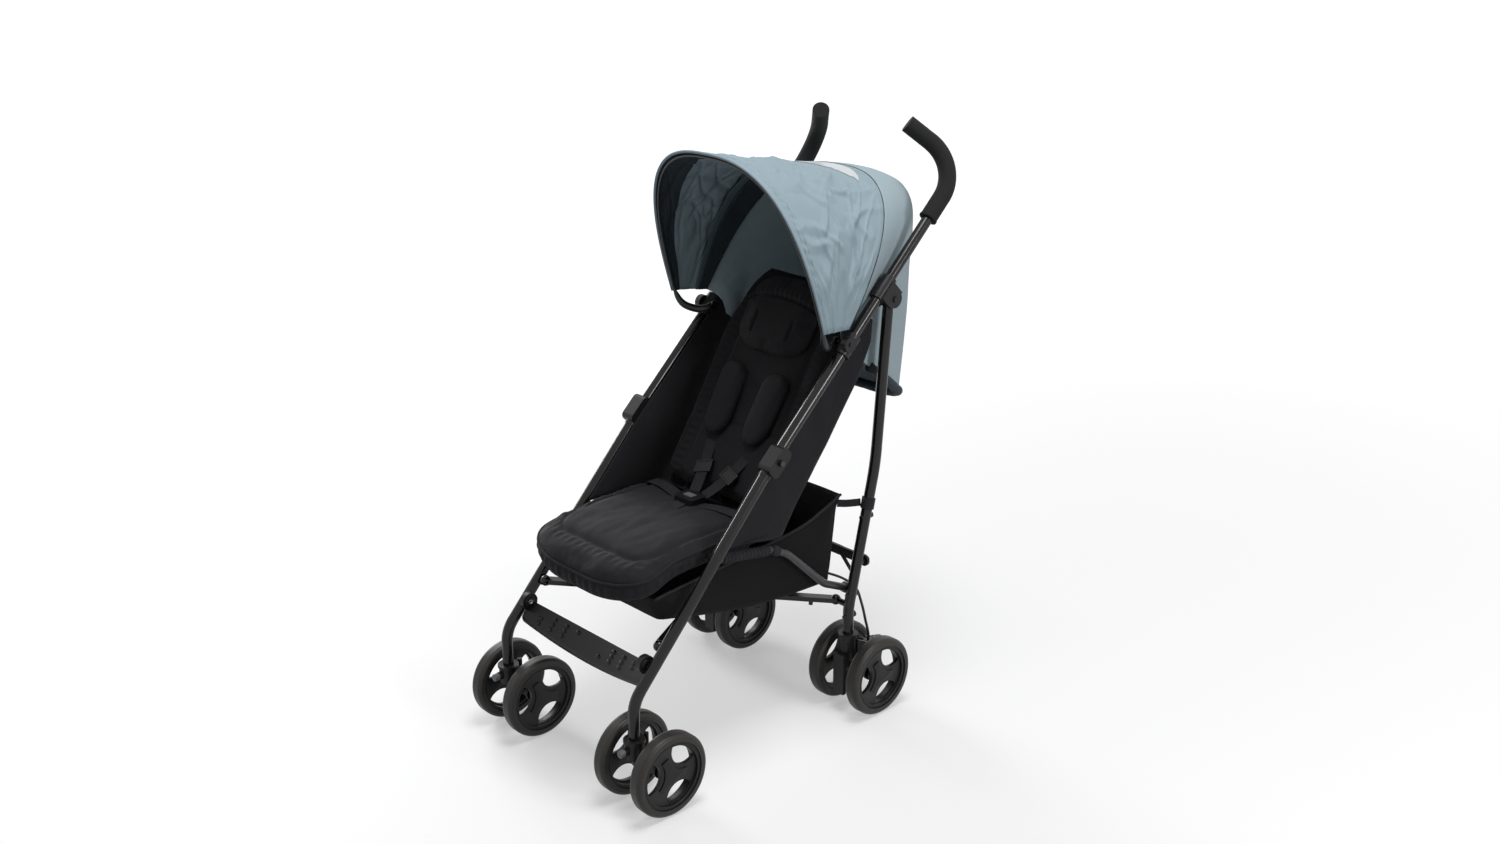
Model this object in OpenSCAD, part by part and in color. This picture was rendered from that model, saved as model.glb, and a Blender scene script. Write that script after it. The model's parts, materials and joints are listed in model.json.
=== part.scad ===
/* [Frame] */
// distance from the middle to each side tube
frame_half_w = 181; // [176:1:186]
// outside diameter of the side tubes
tube_d = 20; // [18:0.5:21]
// outside diameter of the foam grips
grip_d = 32; // [29:0.5:34]
// length of the straight part of each grip end
grip_end_l = 52; // [40:1:60]
// diameter of the seat bars
seat_bar_d = 14; // [11:0.5:15]
// width of the crossed bars under the seat
cross_bar_w = 18; // [14:0.5:20]
// height of the crossed bars under the seat
cross_bar_h = 9; // [7:0.5:9.5]
// height of the rear cross bar
rear_bar_h = 18; // [14:0.5:22]

/* [Wheels] */
// wheel diameter
wheel_d = 150; // [140:1:156]
// tyre width
wheel_w = 28; // [24:0.5:30]
// radial depth of the tyre
tyre_depth = 13.5; // [12:0.5:17]
// diameter of the axles
axle_d = 10; // [8:0.5:11]
// half the spacing of a pair of wheels
pair_half = 48; // [46:0.5:49]

/* [Seat] */
// thickness of the seat pad
seat_pad_th = 30; // [22:1:34]
// thickness of the back cushion
back_pad_th = 26; // [18:1:28]
// clearance from the middle of a side tube to the edge of the seat pad
seat_side_gap = 25; // [24:1:36]
// width of the harness webbing
strap_w = 24; // [20:1:26]
// thickness of the harness webbing
strap_th = 2; // [1.6:0.1:2.4]
// thickness of the cloth panels
cloth_th = 3; // [2.4:0.1:3.4]

/* [Canopy] */
// overhang of the canopy's front foot past the middle of a side tube
canopy_out = 18; // [16:0.5:22]
// thickness of the canopy cloth
canopy_th = 3; // [2.4:0.1:3.4]
// diameter of the canopy bow
bow_d = 6; // [5:0.5:7]

/* [Footrest] */
// thickness of the footrest plate
foot_th = 6; // [4:0.5:8]
// depth of the footrest from lip to back edge
foot_depth = 50; // [44:1:54]

/* [Hidden] */
$fn = 48;
eps_gap = 0.4;
soft_gap = 0.3;
run_gap = 0.05;
bend_lap = 1.5;
bend_step = 0.3;
cut_over = 1;
side_x = frame_half_w;
tube_r = tube_d / 2;

// side view points as [y, z]
mid_joint_p = [-43, 545];
grip_p = [334, 909];
leg_bend_p = [-359, 199];
rear_top_p = [236, 780];
rear_bend_p = [212, 475];
rear_foot_p = [150, 205];
leg_bend_r = 60;
rear_bend_r = 400;
rear_foot_r = 90;

// wheels and their carriers
axle_z = wheel_d / 2;
swivel_y = -359;
front_axle_y = -327;
rear_axle_y = 181;
collar_low = axle_z + 24;
collar_top = axle_z + 58;
collar_d = tube_d + 14;
lip_d = tube_d + 18;
lip_h = 5;
leg_foot_z = collar_low + 8;
boss_half = pair_half - wheel_w / 2 - 1.5;
boss_d = axle_d + 17;
ring_d = boss_d + 5;
ring_w = 6;
arm_w = 26;
caster_arm_pts = [[swivel_y - collar_d / 2 + 5, collar_low + 2],
  [front_axle_y - boss_d / 2 + 3, axle_z - 6], [front_axle_y + boss_d / 2 - 2, axle_z + 4],
  [swivel_y + collar_d / 2 + 2, collar_top - 8], [swivel_y, collar_top - 6]];
post_low = 16;
post_d = 9;
post_h = 18;
post_out = 25;
lock_z = axle_z + 40;
lock_shaft_d = 6;
lock_knob_d = 12;
lock_knob_l = 10;
lock_boss_d = 15;
lock_boss_l = 9;
lock_step = 0.6;
lock_rib = 1.6;
lock_rib_gap = 1.4;
lock_set = 4;
lock_clear = 2;
tyre_r = wheel_d / 2;
rim_r = tyre_r - tyre_depth;
rim_in_r = rim_r - 8;
rim_w = wheel_w - 5;
spoke_w = 15;
hub_r = 20;
hub_w = wheel_w - 3;
spoke_in = 34;
spoke_out = 44;
spoke_lap = 4;
cap_r = 13;
cap_reach = 19;
cap_h = 3;
cap_step = 5;
rim_lip = 2.4;
tyre_round = 8;

// rear carrier and brake
rear_leg_foot_z = 118;
rear_collar_low = 104;
rear_collar_top = 156;
rear_collar_d = tube_d + 13;
guard_y = 134;
guard_th = 8;
guard_w = 26;
guard_low = 38;
guard_top = 118;
pedal_p = [207, 112];
pedal_l = 50;
pedal_w = 44;
pedal_th = 7;
pedal_pin_d = 8;
pedal_eye_d = 15;
pedal_eye_w = 22;
pedal_cheek_w = 6;
pedal_ribs = 4;
pedal_rib_h = 1.5;
pedal_rib_w = 3;
pedal_rib_gap = 9;
pedal_tilt = -14;
pedal_neck = 22;
pedal_plate_at = 12;
pedal_rib_at = 10;
pedal_rib_in = 4;
rear_collar_off = 0.2;
collar_step = 4;
guard_block_h = 22;
guard_block_l = 8;
housing_arm_pts = [[rear_foot_p.x - 14, rear_collar_top - 16], [rear_foot_p.x - 14, rear_collar_low - 6],
  [rear_axle_y - 10, axle_z - 6], [rear_axle_y + 8, axle_z], [rear_axle_y + 6, axle_z + 26],
  [rear_foot_p.x + 12, rear_collar_top - 10]];
pedal_cheek_pts = [[rear_foot_p.x + 8, rear_collar_low], [rear_axle_y, axle_z + 18],
  [pedal_p.x + 1, pedal_p.y - 7], [pedal_p.x, pedal_p.y + 7], [rear_foot_p.x + 8, rear_collar_top - 12]];

// fasteners
bolt_d = 12;
bolt_h = 5;
rivet_d = 8;
rivet_h = 2.5;
leg_bolts = [[189.5, 377], [156, 231], [150, 190]];

// mid joint, brackets and clips on the tubes
mid_l = 54;
mid_w = 29;
mid_round = 10;
mid_neck_l = 16;
mid_neck_d = tube_d + 2.2;
mid_shift = 3.4;
tube_stop = 20;
bracket_l = 46;
bracket_d = tube_d + 7;
bracket_at = 366;
cheek_gap = tube_r + 1.2;
cheek_th = 5;
cheek_r = 16;
cheek_l = 38;
cheek_back = 4;
cheek_lap = 2;
rivet_set = 0.5;
pivot_pin_d = 8;
eye_d = tube_d + 0.8;
clip_at = 243;
clip_l = 42;
clip_d = tube_d + 9;
clip_ear_th = 6;
clip_ear_r = 14;
clip_in = 18;

// grips
grip_bend_r = 74;
grip_low_l = 45;
grip_turn = 88;
grip_lean = 144;
grip_cap_h = 3;
grip_cap_step = 2;

// seat bars, crossed bars and rear bar
seat_bar_x = side_x - 19;
seat_bar_pts = [[163, 236], [104, 263], [8, 352], [-30, 370], [-172, 391]];
seat_bar_bends = [60, 70, 60];
seat_eye_d = 20;
seat_pin_d = 8;
cross_rear_p = [155, 202];
cross_front_p = [-284, 276];
cross_x = side_x - 38;
cross_front_x = side_x - 22;
cross_lift = cross_bar_h / 2 + 1.6;
cross_ball_d = 20;
cross_pin_d = 12;
pin_set = 4;
cross_stud_at = 26;
cross_stud_drop = 9;
cross_stud_h = 10;
cross_stud_d = 8;
cross_rivet_d = 16;
cross_rivet_h = 2;
rear_bar_p = [172.6, 290];
rear_bar_th = 5;
rear_bar_gap = 4.3;
bar_gap = 0.6;
bar_pad_l = 60;
bar_pad_at = 60;
bar_pad_th = 2.5;
bar_pad_edge = 1;
rear_bar_y = rear_bar_p.x + tube_r + rear_bar_gap;
rear_bar_end = 7;
rear_pin_d = 8;
rear_boss_d = 22;
strut_d = 7;
strut_at = 60;
strut_drop = 44;
strut_rise = 4;
rear_boss_gap = 3;
lever_w = 46;
lever_l = 40;
lever_th = 6;
lever_pin_d = 6;
lever_eye_d = 13;
lever_eye_w = 20;
lever_in = 34;
lever_back = 15;
lever_cheek = 6;

// footrest
foot_half = side_x - tube_r - 2;
foot_low_p = [-343, 211];
foot_tilt = 50;
foot_arch = 16;
foot_belly = 14;
foot_lip_h = 9;
foot_crown = 1;
foot_lip_w = 5;
foot_ear_w = 9;
foot_ear_r = 16;
foot_ear_at = 46;
foot_bolt_d = 10;
foot_stations = 24;

// soft pieces
bite_p = [-8, 396];
back_lean = 31;
back_l = 440;
back_half_w = side_x - 29;
back_rod_d = 10;
base_th = 5;
base_front_y = -176;
base_rear_y = -13.4;
base_z = 386;
base_half_w = seat_bar_x - seat_bar_d / 2 - soft_gap;
seat_front_y = -348;
seat_l = 312;
seat_half_w = side_x - seat_side_gap;
seat_drop = 24;
seat_z = base_z + base_th + 0.3;
head_l = 150;
head_half_w = 92;
head_th = 20;
head_at = 288;
pad_l = 118;
pad_half_w = 27;
pad_th = 15;
pad_x = 52;
pad_at = 130;
groove_deep = 6;
groove_half = 9;
channel_half = seat_half_w - 34;
back_cross_at = 150;
back_side_at = back_half_w - 56;
start_share = 0.012;
rim_share = 0.09;
drop_share = 0.5;
side_share = 0.42;
crown_share = 0.94;
low_share = 0.2;
low_crown_share = 0.9;
rim_power = 2.2;
seat_edge_shares = [0.2, 0.08];
back_edge_shares = [0.06, 0.36];
head_edge_shares = [0.3, 0.4];
pad_edge_shares = [0.4, 0.2];
tab_share = 0.6;
tab_w = 12;
tab_l = 16;
tab_th = 4;
channel_mid = 188;
channel_long = 130;
wing_x = side_x - tube_r - soft_gap - cloth_th / 2;
wing_pts = [[-176, 404], [-96, 492], [-70, 500], [-18, 545], [12, 575], [2, 592], [88, 676], [120, 676],
  [176, 721], [148, 676], [70, 546], [8, 444], [2, 386], [-22, 386], [-24, 404]];

// basket
basket_half_w = side_x - 33;
basket_pts = [[158, 419], [137, 246], [-60, 256], [-255, 284], [-282, 350], [-60, 368], [60, 382],
  [120, 402]];
basket_wall = 3;
basket_inner = [[161, 470], [134, 249], [-60, 259], [-253, 287], [-279, 350], [-279, 470]];
loop_z = 402;
loop_h = 22;
loop_th = 3;
loop_gap = 0.3;
loop_tab_up = 2;
loop_tab_h = 14;
loop_tab_y = 150;
loop_tab_in = [9, 10.5];
loop_tab_out = [12, 7.5];

// harness
buckle_y = seat_front_y + seat_l - 40;
buckle_z = seat_z + seat_pad_th + 1.2;
buckle_w = 50;
buckle_l = 38;
buckle_h = 15;
buckle_round = 8;
pocket_deep = 9;
button_w = 22;
button_l = 14;
button_out = 1.6;
button_gap = 0.4;
button_floor = 3;
strap_rise = 0.8;
strap_end_x = 13;
strap_end_gap = 3.4;
strap_end_drop = 4;
strap_lift = 2;
strap_sag = 7;
lap_gap = 3;
lap_lift = 2;
lap_rise = 5;
crotch_lift = 1;
crotch_rise = 5;
lap_x = side_x - 55;
lap_y = buckle_y + 18;
crotch_y = buckle_y - 64;
strap_low_at = 112;
strap_top_at = 262;
slider_w = 34;
slider_l = 16;
slider_th = 6;
slider_slot_w = 2;
slider_slot_h = 2.4;

// canopy
bow_p = [125, 719];
canopy_half_w = side_x + canopy_out;
canopy_rear_out = 8;
front_foot = [58, 752];
front_top = [-33, 1043];
rear_foot = [128, 745];
rear_top = [290, 985];
flap_tops = [[290, 985], [350, 974], [395, 946], [405, 880], [392, 760], [372, 650], [352, 556]];
flap_feet = [[128, 745], [132, 742], [136, 738], [140, 731], [144, 722], [147, 711], [150, 700]];
flap_in = [-8, 8, 19, 24, 25, 26, 26];
flap_powers = [0.74, 0.72, 0.68, 0.63, 0.58, 0.53, 0.5];
arch_power = 0.74;
canopy_cols = 22;
canopy_rows = 7;
canopy_sag = 7;
seam_gap = 0.4;
bow_steps = 30;
bow_clear = 1.9;
bow_inset = canopy_th + bow_d / 2 + bow_clear;
bow_eye_d = 16;
bow_eye_w = 8;
bow_eye_x = side_x - tube_r - 12;
bow_pin_d = 6;
bow_rise = 2;
bow_hook = [12, -12, 4];

// brake cable
cable_d = 5;
cable_sides = 8;
cable_side = [[14, 190, 129.6], [14, 190, 146], [10, 186, 172], [3, 182, 205], [-19, 188, 228],
  [-61, 194, 232], [-121, 196, 226]];
cable_mid = [0, 197, 222];
cable_half = [for (c = cable_side) [side_x + c.x, c.y, c.z]];
cable_route = concat(cable_half, [cable_mid], [for (i = [len(cable_half) - 1 : -1 : 0])
  [-cable_half[i].x, cable_half[i].y, cable_half[i].z]]);

// directions of the side tubes
handle_v = grip_p - mid_joint_p;
handle_len = norm(handle_v);
handle_lean = atan2(handle_v.x, handle_v.y);
leg_v = leg_bend_p - mid_joint_p;
leg_len = norm(leg_v);
leg_lean = atan2(-leg_v.x, -leg_v.y);
rear_v1 = rear_bend_p - rear_top_p;
rear_v2 = rear_foot_p - rear_bend_p;
rear_lean1 = atan2(-rear_v1.x, -rear_v1.y);
rear_lean2 = atan2(-rear_v2.x, -rear_v2.y);
rear_turn = rear_lean2 - rear_lean1;

// shared shapes
module mirrored(left) {
  mirror([left ? 1 : 0, 0, 0]) children();
}

module across_x(h, d) {
  rotate([0, 90, 0]) cylinder(h = h, d = d, center = true);
}

module along_y(h, d) {
  rotate([-90, 0, 0]) cylinder(h = h, d = d);
}

module at_side(p) {
  translate([side_x, p.x, p.y]) children();
}

module rod(p, q, d) {
  v = q - p;
  translate(p)
    rotate([0, acos(v.z / norm(v)), atan2(v.y, v.x)])
      cylinder(h = norm(v), d = d);
}

module rounded(w, h, r) {
  square([w - 2 * r, h], center = true);
  square([w, h - 2 * r], center = true);
  for (sx = [-1, 1], sy = [-1, 1])
    translate([sx * (w / 2 - r), sy * (h / 2 - r)]) circle(r = r);
}

module plate_x(pts, w) {
  rotate([90, 0, 90]) translate([0, 0, -w / 2]) linear_extrude(height = w) polygon(pts);
}

module bent_tube(steps, d, i = 0) {
  if (i < len(steps)) {
    run = steps[i][0];
    bend_r = steps[i][1];
    turn = steps[i][2];
    low = i > 0 ? bend_lap : 0;
    high = turn != 0 ? bend_lap : 0;
    translate([0, 0, -low]) cylinder(h = run + low + high, d = d);
    translate([0, 0, run])
      if (turn != 0)
        rotate([0, 0, turn > 0 ? 0 : 180]) {
          multmatrix([[0, 0, -1, 0], [-1, 0, 0, bend_r], [0, 1, 0, 0], [0, 0, 0, 1]])
            rotate_extrude(angle = abs(turn)) translate([bend_r, 0]) circle(d = d + bend_step);
          translate([0, bend_r * (1 - cos(abs(turn))), bend_r * sin(abs(turn))])
            rotate([-abs(turn), 0, 0])
              rotate([0, 0, turn > 0 ? 0 : 180]) bent_tube(steps, d, i + 1);
        }
      else bent_tube(steps, d, i + 1);
  }
}

// closed skin through rings of points, each ring out along the top and back along the underside
module loft(rings) {
  n = len(rings[0]);
  m = len(rings);
  last = (m - 1) * n;
  pts = [for (r = rings) each r];
  sides = [for (i = [0 : m - 2], j = [0 : n - 1])
    let (a = i * n + j, b = i * n + (j + 1) % n, c = b + n, d = a + n) each [[a, d, c], [a, c, b]]];
  first_cap = [for (j = [0 : n / 2 - 2])
    each [[j, j + 1, n - 2 - j], [j, n - 2 - j, n - 1 - j]]];
  last_cap = [for (j = [0 : n / 2 - 2])
    each [[last + j, last + n - 2 - j, last + j + 1], [last + j, last + n - 1 - j, last + n - 2 - j]]];
  polyhedron(points = pts, faces = concat(sides, first_cap, last_cap));
}

// side tubes
module handle_tube(left) {
  color("#2a2624") mirrored(left) at_side(mid_joint_p)
    rotate([-handle_lean, 0, 0])
      translate([0, 0, tube_stop]) cylinder(h = handle_len - tube_stop, d = tube_d);
}

module grip(left) {
  color("#1b1b1c") mirrored(left) at_side(grip_p)
    rotate([-handle_lean, 0, 0]) rotate([0, 0, grip_lean]) {
      bent_tube([[grip_low_l, grip_bend_r, grip_turn], [grip_end_l, 0, 0]], grip_d);
      translate([0, 0, -grip_cap_h]) difference() {
        cylinder(h = grip_cap_h, d = grip_d + grip_cap_step);
        translate([0, 0, -cut_over]) cylinder(h = grip_cap_h + 2 * cut_over, d = tube_d + 2 * run_gap);
      }
    }
}

module upper_bracket(left) {
  color("#1d1d1e") mirrored(left) difference() {
    union() {
      at_side(mid_joint_p) rotate([-handle_lean, 0, 0]) translate([0, 0, bracket_at - bracket_l / 2])
        cylinder(h = bracket_l, d = bracket_d);
      for (s = [-1, 1]) translate([s * (cheek_gap + cheek_th / 2), 0, 0]) at_side(rear_top_p) {
        across_x(cheek_th, 2 * cheek_r);
        rotate([90 - handle_lean, 0, 0]) translate([0, 0, cheek_r - cheek_back])
          cube([cheek_th, cheek_l, 2 * cheek_r + cheek_lap], center = true);
        translate([s * (cheek_th / 2 + cut_over), 0, 0]) across_x(rivet_h, bolt_d);
      }
      at_side(rear_top_p) across_x(2 * (cheek_gap + cheek_th), pivot_pin_d);
    }
    at_side(mid_joint_p) rotate([-handle_lean, 0, 0]) cylinder(h = handle_len, d = tube_d + 2 * run_gap);
  }
}

module canopy_clip(left) {
  color("#1d1d1e") mirrored(left) {
    at_side(mid_joint_p) rotate([-handle_lean, 0, 0]) translate([0, 0, clip_at - clip_l / 2])
      difference() {
        cylinder(h = clip_l, d = clip_d);
        translate([0, 0, -cut_over]) cylinder(h = clip_l + 2 * cut_over, d = tube_d + 2 * run_gap);
      }
    translate([side_x - tube_r - clip_in / 2 - cut_over, bow_p.x, bow_p.y]) across_x(clip_in, bow_pin_d);
    difference() {
      at_side(bow_p) translate([tube_r, 0, 0]) across_x(2 * clip_ear_th, 2 * clip_ear_r);
      at_side(mid_joint_p) rotate([-handle_lean, 0, 0])
        cylinder(h = handle_len, d = tube_d + 2 * run_gap);
    }
    at_side(bow_p) translate([tube_r + clip_ear_th + rivet_h / 2 - rivet_set, 0, 0])
      across_x(rivet_h, rivet_d);
  }
}

module mid_joint(left) {
  color("#232324") mirrored(left) at_side(mid_joint_p) difference() {
    union() {
      rotate([-handle_lean, 0, 0]) rotate([0, 90, 0]) rotate([0, 0, 90])
        translate([0, 0, mid_shift - mid_w / 2]) linear_extrude(height = mid_w)
          rounded(mid_w, mid_l, mid_round);
      rotate([180 - leg_lean, 0, 0]) translate([0, 0, mid_l / 2 - mid_round])
        cylinder(h = mid_neck_l, d = mid_neck_d);
      translate([mid_shift + mid_w / 2 + bolt_h / 2 - cut_over, 0, 0]) across_x(bolt_h, bolt_d);
    }
    rotate([-handle_lean, 0, 0]) translate([0, 0, tube_stop - run_gap])
      cylinder(h = mid_l, d = tube_d + 2 * run_gap);
    rotate([180 - leg_lean, 0, 0]) translate([0, 0, tube_stop - run_gap])
      cylinder(h = mid_l, d = tube_d + 2 * run_gap);
  }
}

module front_leg(left) {
  bend_t = leg_bend_r * tan(leg_lean / 2);
  color("#2a2624") mirrored(left) {
    at_side(mid_joint_p) rotate([180 - leg_lean, 0, 0]) translate([0, 0, tube_stop])
      bent_tube([[leg_len - tube_stop - bend_t, leg_bend_r, -leg_lean],
        [leg_bend_p.y - bend_t - leg_foot_z, 0, 0]], tube_d);
    translate([cross_front_x + cross_ball_d / 2 + eps_gap, cross_front_p.x, cross_front_p.y])
      rotate([0, 90, 0]) cylinder(h = side_x - cross_front_x - cross_ball_d / 2 - cut_over, d = cross_pin_d);
  }
}

// casters
module caster(left) {
  color("#1c1c1d") mirrored(left) difference() {
    union() {
      translate([side_x, swivel_y, collar_low]) cylinder(h = collar_top - collar_low, d = collar_d);
      translate([side_x, swivel_y, collar_top - lip_h]) cylinder(h = lip_h, d = lip_d);
      at_side([front_axle_y, axle_z]) across_x(2 * boss_half, boss_d);
      for (s = [-1, 1])
        at_side([front_axle_y, axle_z]) translate([s * (boss_half - ring_w / 2 - cut_over), 0, 0])
          across_x(ring_w, ring_d);
      at_side([0, 0]) plate_x(caster_arm_pts, arm_w);
      translate([side_x, swivel_y + post_out, collar_top - post_low]) cylinder(h = post_h, d = post_d);
      translate([side_x, swivel_y - collar_d / 2 - lock_boss_l + lock_set, lock_z])
        along_y(lock_boss_l + lock_clear, lock_boss_d);
    }
    translate([side_x, swivel_y, leg_foot_z - cut_over]) cylinder(h = collar_top, d = tube_d + 2 * run_gap);
    at_side([front_axle_y, axle_z]) across_x(2 * boss_half + 2 * cut_over, axle_d + 2 * run_gap);
    translate([side_x, swivel_y - collar_d, lock_z])
      along_y(collar_d - tube_r, lock_shaft_d + 2 * run_gap);
  }
}

module swivel_lock(left) {
  knob_y = swivel_y - collar_d / 2 - lock_boss_l + lock_set - eps_gap;
  color("#8b8d8f") mirrored(left) translate([side_x, 0, lock_z]) {
    translate([0, knob_y - lock_knob_l, 0]) along_y(lock_knob_l, lock_knob_d);
    for (i = [0 : 2])
      translate([0, knob_y - lock_knob_l + cut_over + i * (lock_rib + lock_rib_gap), 0])
        along_y(lock_rib, lock_knob_d + 2 * lock_step);
    translate([0, knob_y - cut_over, 0]) along_y(swivel_y - tube_r - lock_clear - knob_y, lock_shaft_d);
  }
}

// wheels
module tyre() {
  rotate([0, 90, 0]) rotate_extrude($fn = 72) difference() {
    union() {
      translate([rim_r, -wheel_w / 2 + tyre_round]) square([tyre_depth, wheel_w - 2 * tyre_round]);
      translate([rim_r, -wheel_w / 2]) square([tyre_depth - tyre_round, wheel_w]);
      for (s = [-1, 1]) translate([tyre_r - tyre_round, s * (wheel_w / 2 - tyre_round)])
        circle(r = tyre_round);
    }
    translate([0, -wheel_w]) square([rim_r, 2 * wheel_w]);
  }
}

module spokes() {
  for (a = [90 : 120 : 330])
    rotate([0, 0, a]) polygon([[0, -spoke_in / 2], [rim_in_r + spoke_lap, -spoke_out / 2],
      [rim_in_r + spoke_lap, spoke_out / 2], [0, spoke_in / 2]]);
  circle(r = hub_r);
}

module rim(out) {
  difference() {
    union() {
      rotate([0, 90, 0]) rotate_extrude($fn = 72) union() {
        translate([rim_in_r, -rim_w / 2]) square([rim_r - run_gap - rim_in_r, rim_w]);
        translate([rim_in_r, -rim_w / 2 - cut_over]) square([rim_lip, rim_w + 2 * cut_over]);
      }
      rotate([0, 90, 0]) intersection() {
        translate([0, 0, -spoke_w / 2]) linear_extrude(height = spoke_w) spokes();
        cylinder(h = 4 * spoke_w, r = rim_in_r + spoke_lap / 2, center = true, $fn = 72);
      }
      across_x(hub_w, 2 * hub_r);
      translate([out * hub_w / 2, 0, 0]) rotate([0, 90 * out, 0]) linear_extrude(height = cap_h) {
        for (a = [90 : 120 : 330])
          rotate([0, 0, a]) translate([cap_reach - cap_step, 0]) circle(r = cap_r);
        circle(r = cap_reach);
      }
    }
    translate([-out * cap_h, 0, 0]) across_x(hub_w + 2 * cap_h, axle_d + 2 * run_gap);
  }
}

module wheel_pair(y) {
  for (s = [-1, 1]) translate([side_x + s * pair_half, y, axle_z]) children();
}

module tyres(left, y) {
  color("#3d3b38") mirrored(left) wheel_pair(y) tyre();
}

module rims(left, y) {
  color("#1e1e1f") mirrored(left)
    for (s = [-1, 1]) translate([side_x + s * pair_half, y, axle_z]) rim(s);
}

module axle(left, y) {
  color("#8d9094") mirrored(left) at_side([y, axle_z])
    across_x(2 * (pair_half + hub_w / 2 - cap_h) - cut_over, axle_d);
}

// rear legs
module rear_leg(left) {
  t1 = rear_bend_r * tan(rear_turn / 2);
  t2 = rear_foot_r * tan(rear_lean2 / 2);
  color("#2a2624") mirrored(left) difference() {
    union() {
      at_side(rear_top_p) across_x(2 * cheek_gap - 2 * eps_gap, eye_d);
      at_side(rear_top_p) rotate([180 - rear_lean1, 0, 0])
        bent_tube([[norm(rear_v1) - t1, rear_bend_r, rear_turn],
          [norm(rear_v2) - t1 - t2, rear_foot_r, -rear_lean2],
          [rear_foot_p.y - t2 - rear_leg_foot_z, 0, 0]], tube_d);
      translate([seat_bar_x, seat_bar_pts[0].x, seat_bar_pts[0].y]) rotate([0, 90, 0])
        cylinder(h = side_x - seat_bar_x, d = seat_pin_d);
      for (lift = [left ? -cross_lift : cross_lift])
        translate([cross_x + cross_ball_d / 2 + eps_gap, cross_rear_p.x, cross_rear_p.y + lift])
          rotate([0, 90, 0]) cylinder(h = side_x - cross_x - cross_ball_d / 2 - pin_set, d = cross_pin_d);
      translate([side_x, rear_bar_p.x, rear_bar_p.y])
        along_y(tube_r + rear_bar_gap + rear_bar_th + 2 * cut_over, rear_pin_d);
      translate([side_x, rear_bar_p.x, rear_bar_p.y]) along_y(tube_r + rear_bar_gap - eps_gap, bolt_d);
      translate([side_x, rear_bar_y + rear_bar_th + eps_gap, rear_bar_p.y]) along_y(bolt_h, bolt_d);
      for (b = leg_bolts) translate([side_x, b.x, b.y]) {
        along_y(tube_r + bolt_h, bolt_d);
        translate([0, -tube_r - rivet_h, 0]) along_y(tube_r, rivet_d);
      }
    }
    at_side(rear_top_p) across_x(4 * cheek_gap, pivot_pin_d + 2 * run_gap);
  }
}

module rear_housing(left) {
  color("#1c1c1d") mirrored(left) difference() {
    union() {
      translate([side_x, rear_foot_p.x - rear_collar_off, rear_collar_low])
        cylinder(h = rear_collar_top - rear_collar_low, d = rear_collar_d);
      translate([side_x, rear_foot_p.x - rear_collar_off, rear_collar_top - lip_h])
        cylinder(h = lip_h, d = rear_collar_d + collar_step);
      at_side([rear_axle_y, axle_z]) across_x(2 * boss_half, boss_d);
      for (s = [-1, 1])
        at_side([rear_axle_y, axle_z]) translate([s * (boss_half - ring_w / 2 - cut_over), 0, 0])
          across_x(ring_w, ring_d);
      at_side([0, 0]) plate_x(housing_arm_pts, arm_w);
      translate([side_x - guard_w / 2, guard_y - guard_th, guard_low])
        cube([guard_w, guard_th, guard_top - guard_low]);
      translate([side_x - guard_w / 2, guard_y - guard_th, guard_top - guard_block_h])
        cube([guard_w, guard_th + guard_block_l, guard_block_h]);
      for (s = [-1, 1])
        at_side([0, 0]) translate([s * (pedal_eye_w / 2 + eps_gap + pedal_cheek_w / 2), 0, 0]) {
          plate_x(pedal_cheek_pts, pedal_cheek_w);
          translate([0, pedal_p.x, pedal_p.y]) across_x(pedal_cheek_w, pedal_eye_d);
        }
      at_side(pedal_p) across_x(pedal_eye_w + 2 * pedal_cheek_w, pedal_pin_d);
    }
    translate([side_x, rear_foot_p.x - rear_collar_off, rear_leg_foot_z - cut_over])
      cylinder(h = rear_collar_top, d = tube_d + 4 * run_gap);
    at_side([rear_axle_y, axle_z]) across_x(2 * boss_half + 2 * cut_over, axle_d + 2 * run_gap);
  }
}

module brake_pedal(left) {
  color("#5d6064") mirrored(left) at_side(pedal_p) difference() {
    union() {
      across_x(pedal_eye_w, pedal_eye_d);
      rotate([pedal_tilt, 0, 0]) {
        translate([-pedal_eye_w / 2 + cut_over, 0, pedal_eye_d / 2 - pedal_th + cut_over])
          cube([pedal_eye_w - 2 * cut_over, pedal_neck, pedal_th - 2 * cut_over]);
        translate([-pedal_w / 2, pedal_plate_at, pedal_eye_d / 2 - pedal_th])
          cube([pedal_w, pedal_l - pedal_plate_at, pedal_th]);
        for (i = [1 : pedal_ribs])
          translate([-pedal_w / 2 + pedal_rib_in, pedal_rib_at + i * pedal_rib_gap,
            pedal_eye_d / 2 - rivet_set])
            cube([pedal_w - 2 * pedal_rib_in, pedal_rib_w, pedal_rib_h + rivet_set]);
      }
    }
    across_x(pedal_w, pedal_pin_d + 2 * run_gap);
  }
}

function ring_at(p, v, d, n) =
  let (w = v / norm(v), a = [-w.y, w.x, 0], u = norm(a) < 0.1 ? [1, 0, 0] : a / norm(a), q = cross(w, u))
    [for (i = [0 : n - 1]) p + d / 2 * (cos(360 * i / n) * u + sin(360 * i / n) * q)];

function way(pts, i) = pts[min(i + 1, len(pts) - 1)] - pts[max(i - 1, 0)];

function smooth(pts, n) = [for (i = [0 : len(pts) - 2], k = [0 : n - 1])
  let (t = k / n, a = pts[max(i - 1, 0)], b = pts[i], c = pts[i + 1], d = pts[min(i + 2, len(pts) - 1)])
    b + (c - a) * t / 2 + (2 * a - 5 * b + 4 * c - d) * t * t / 2 + (3 * b - a - 3 * c + d) * t * t * t / 2];

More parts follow.
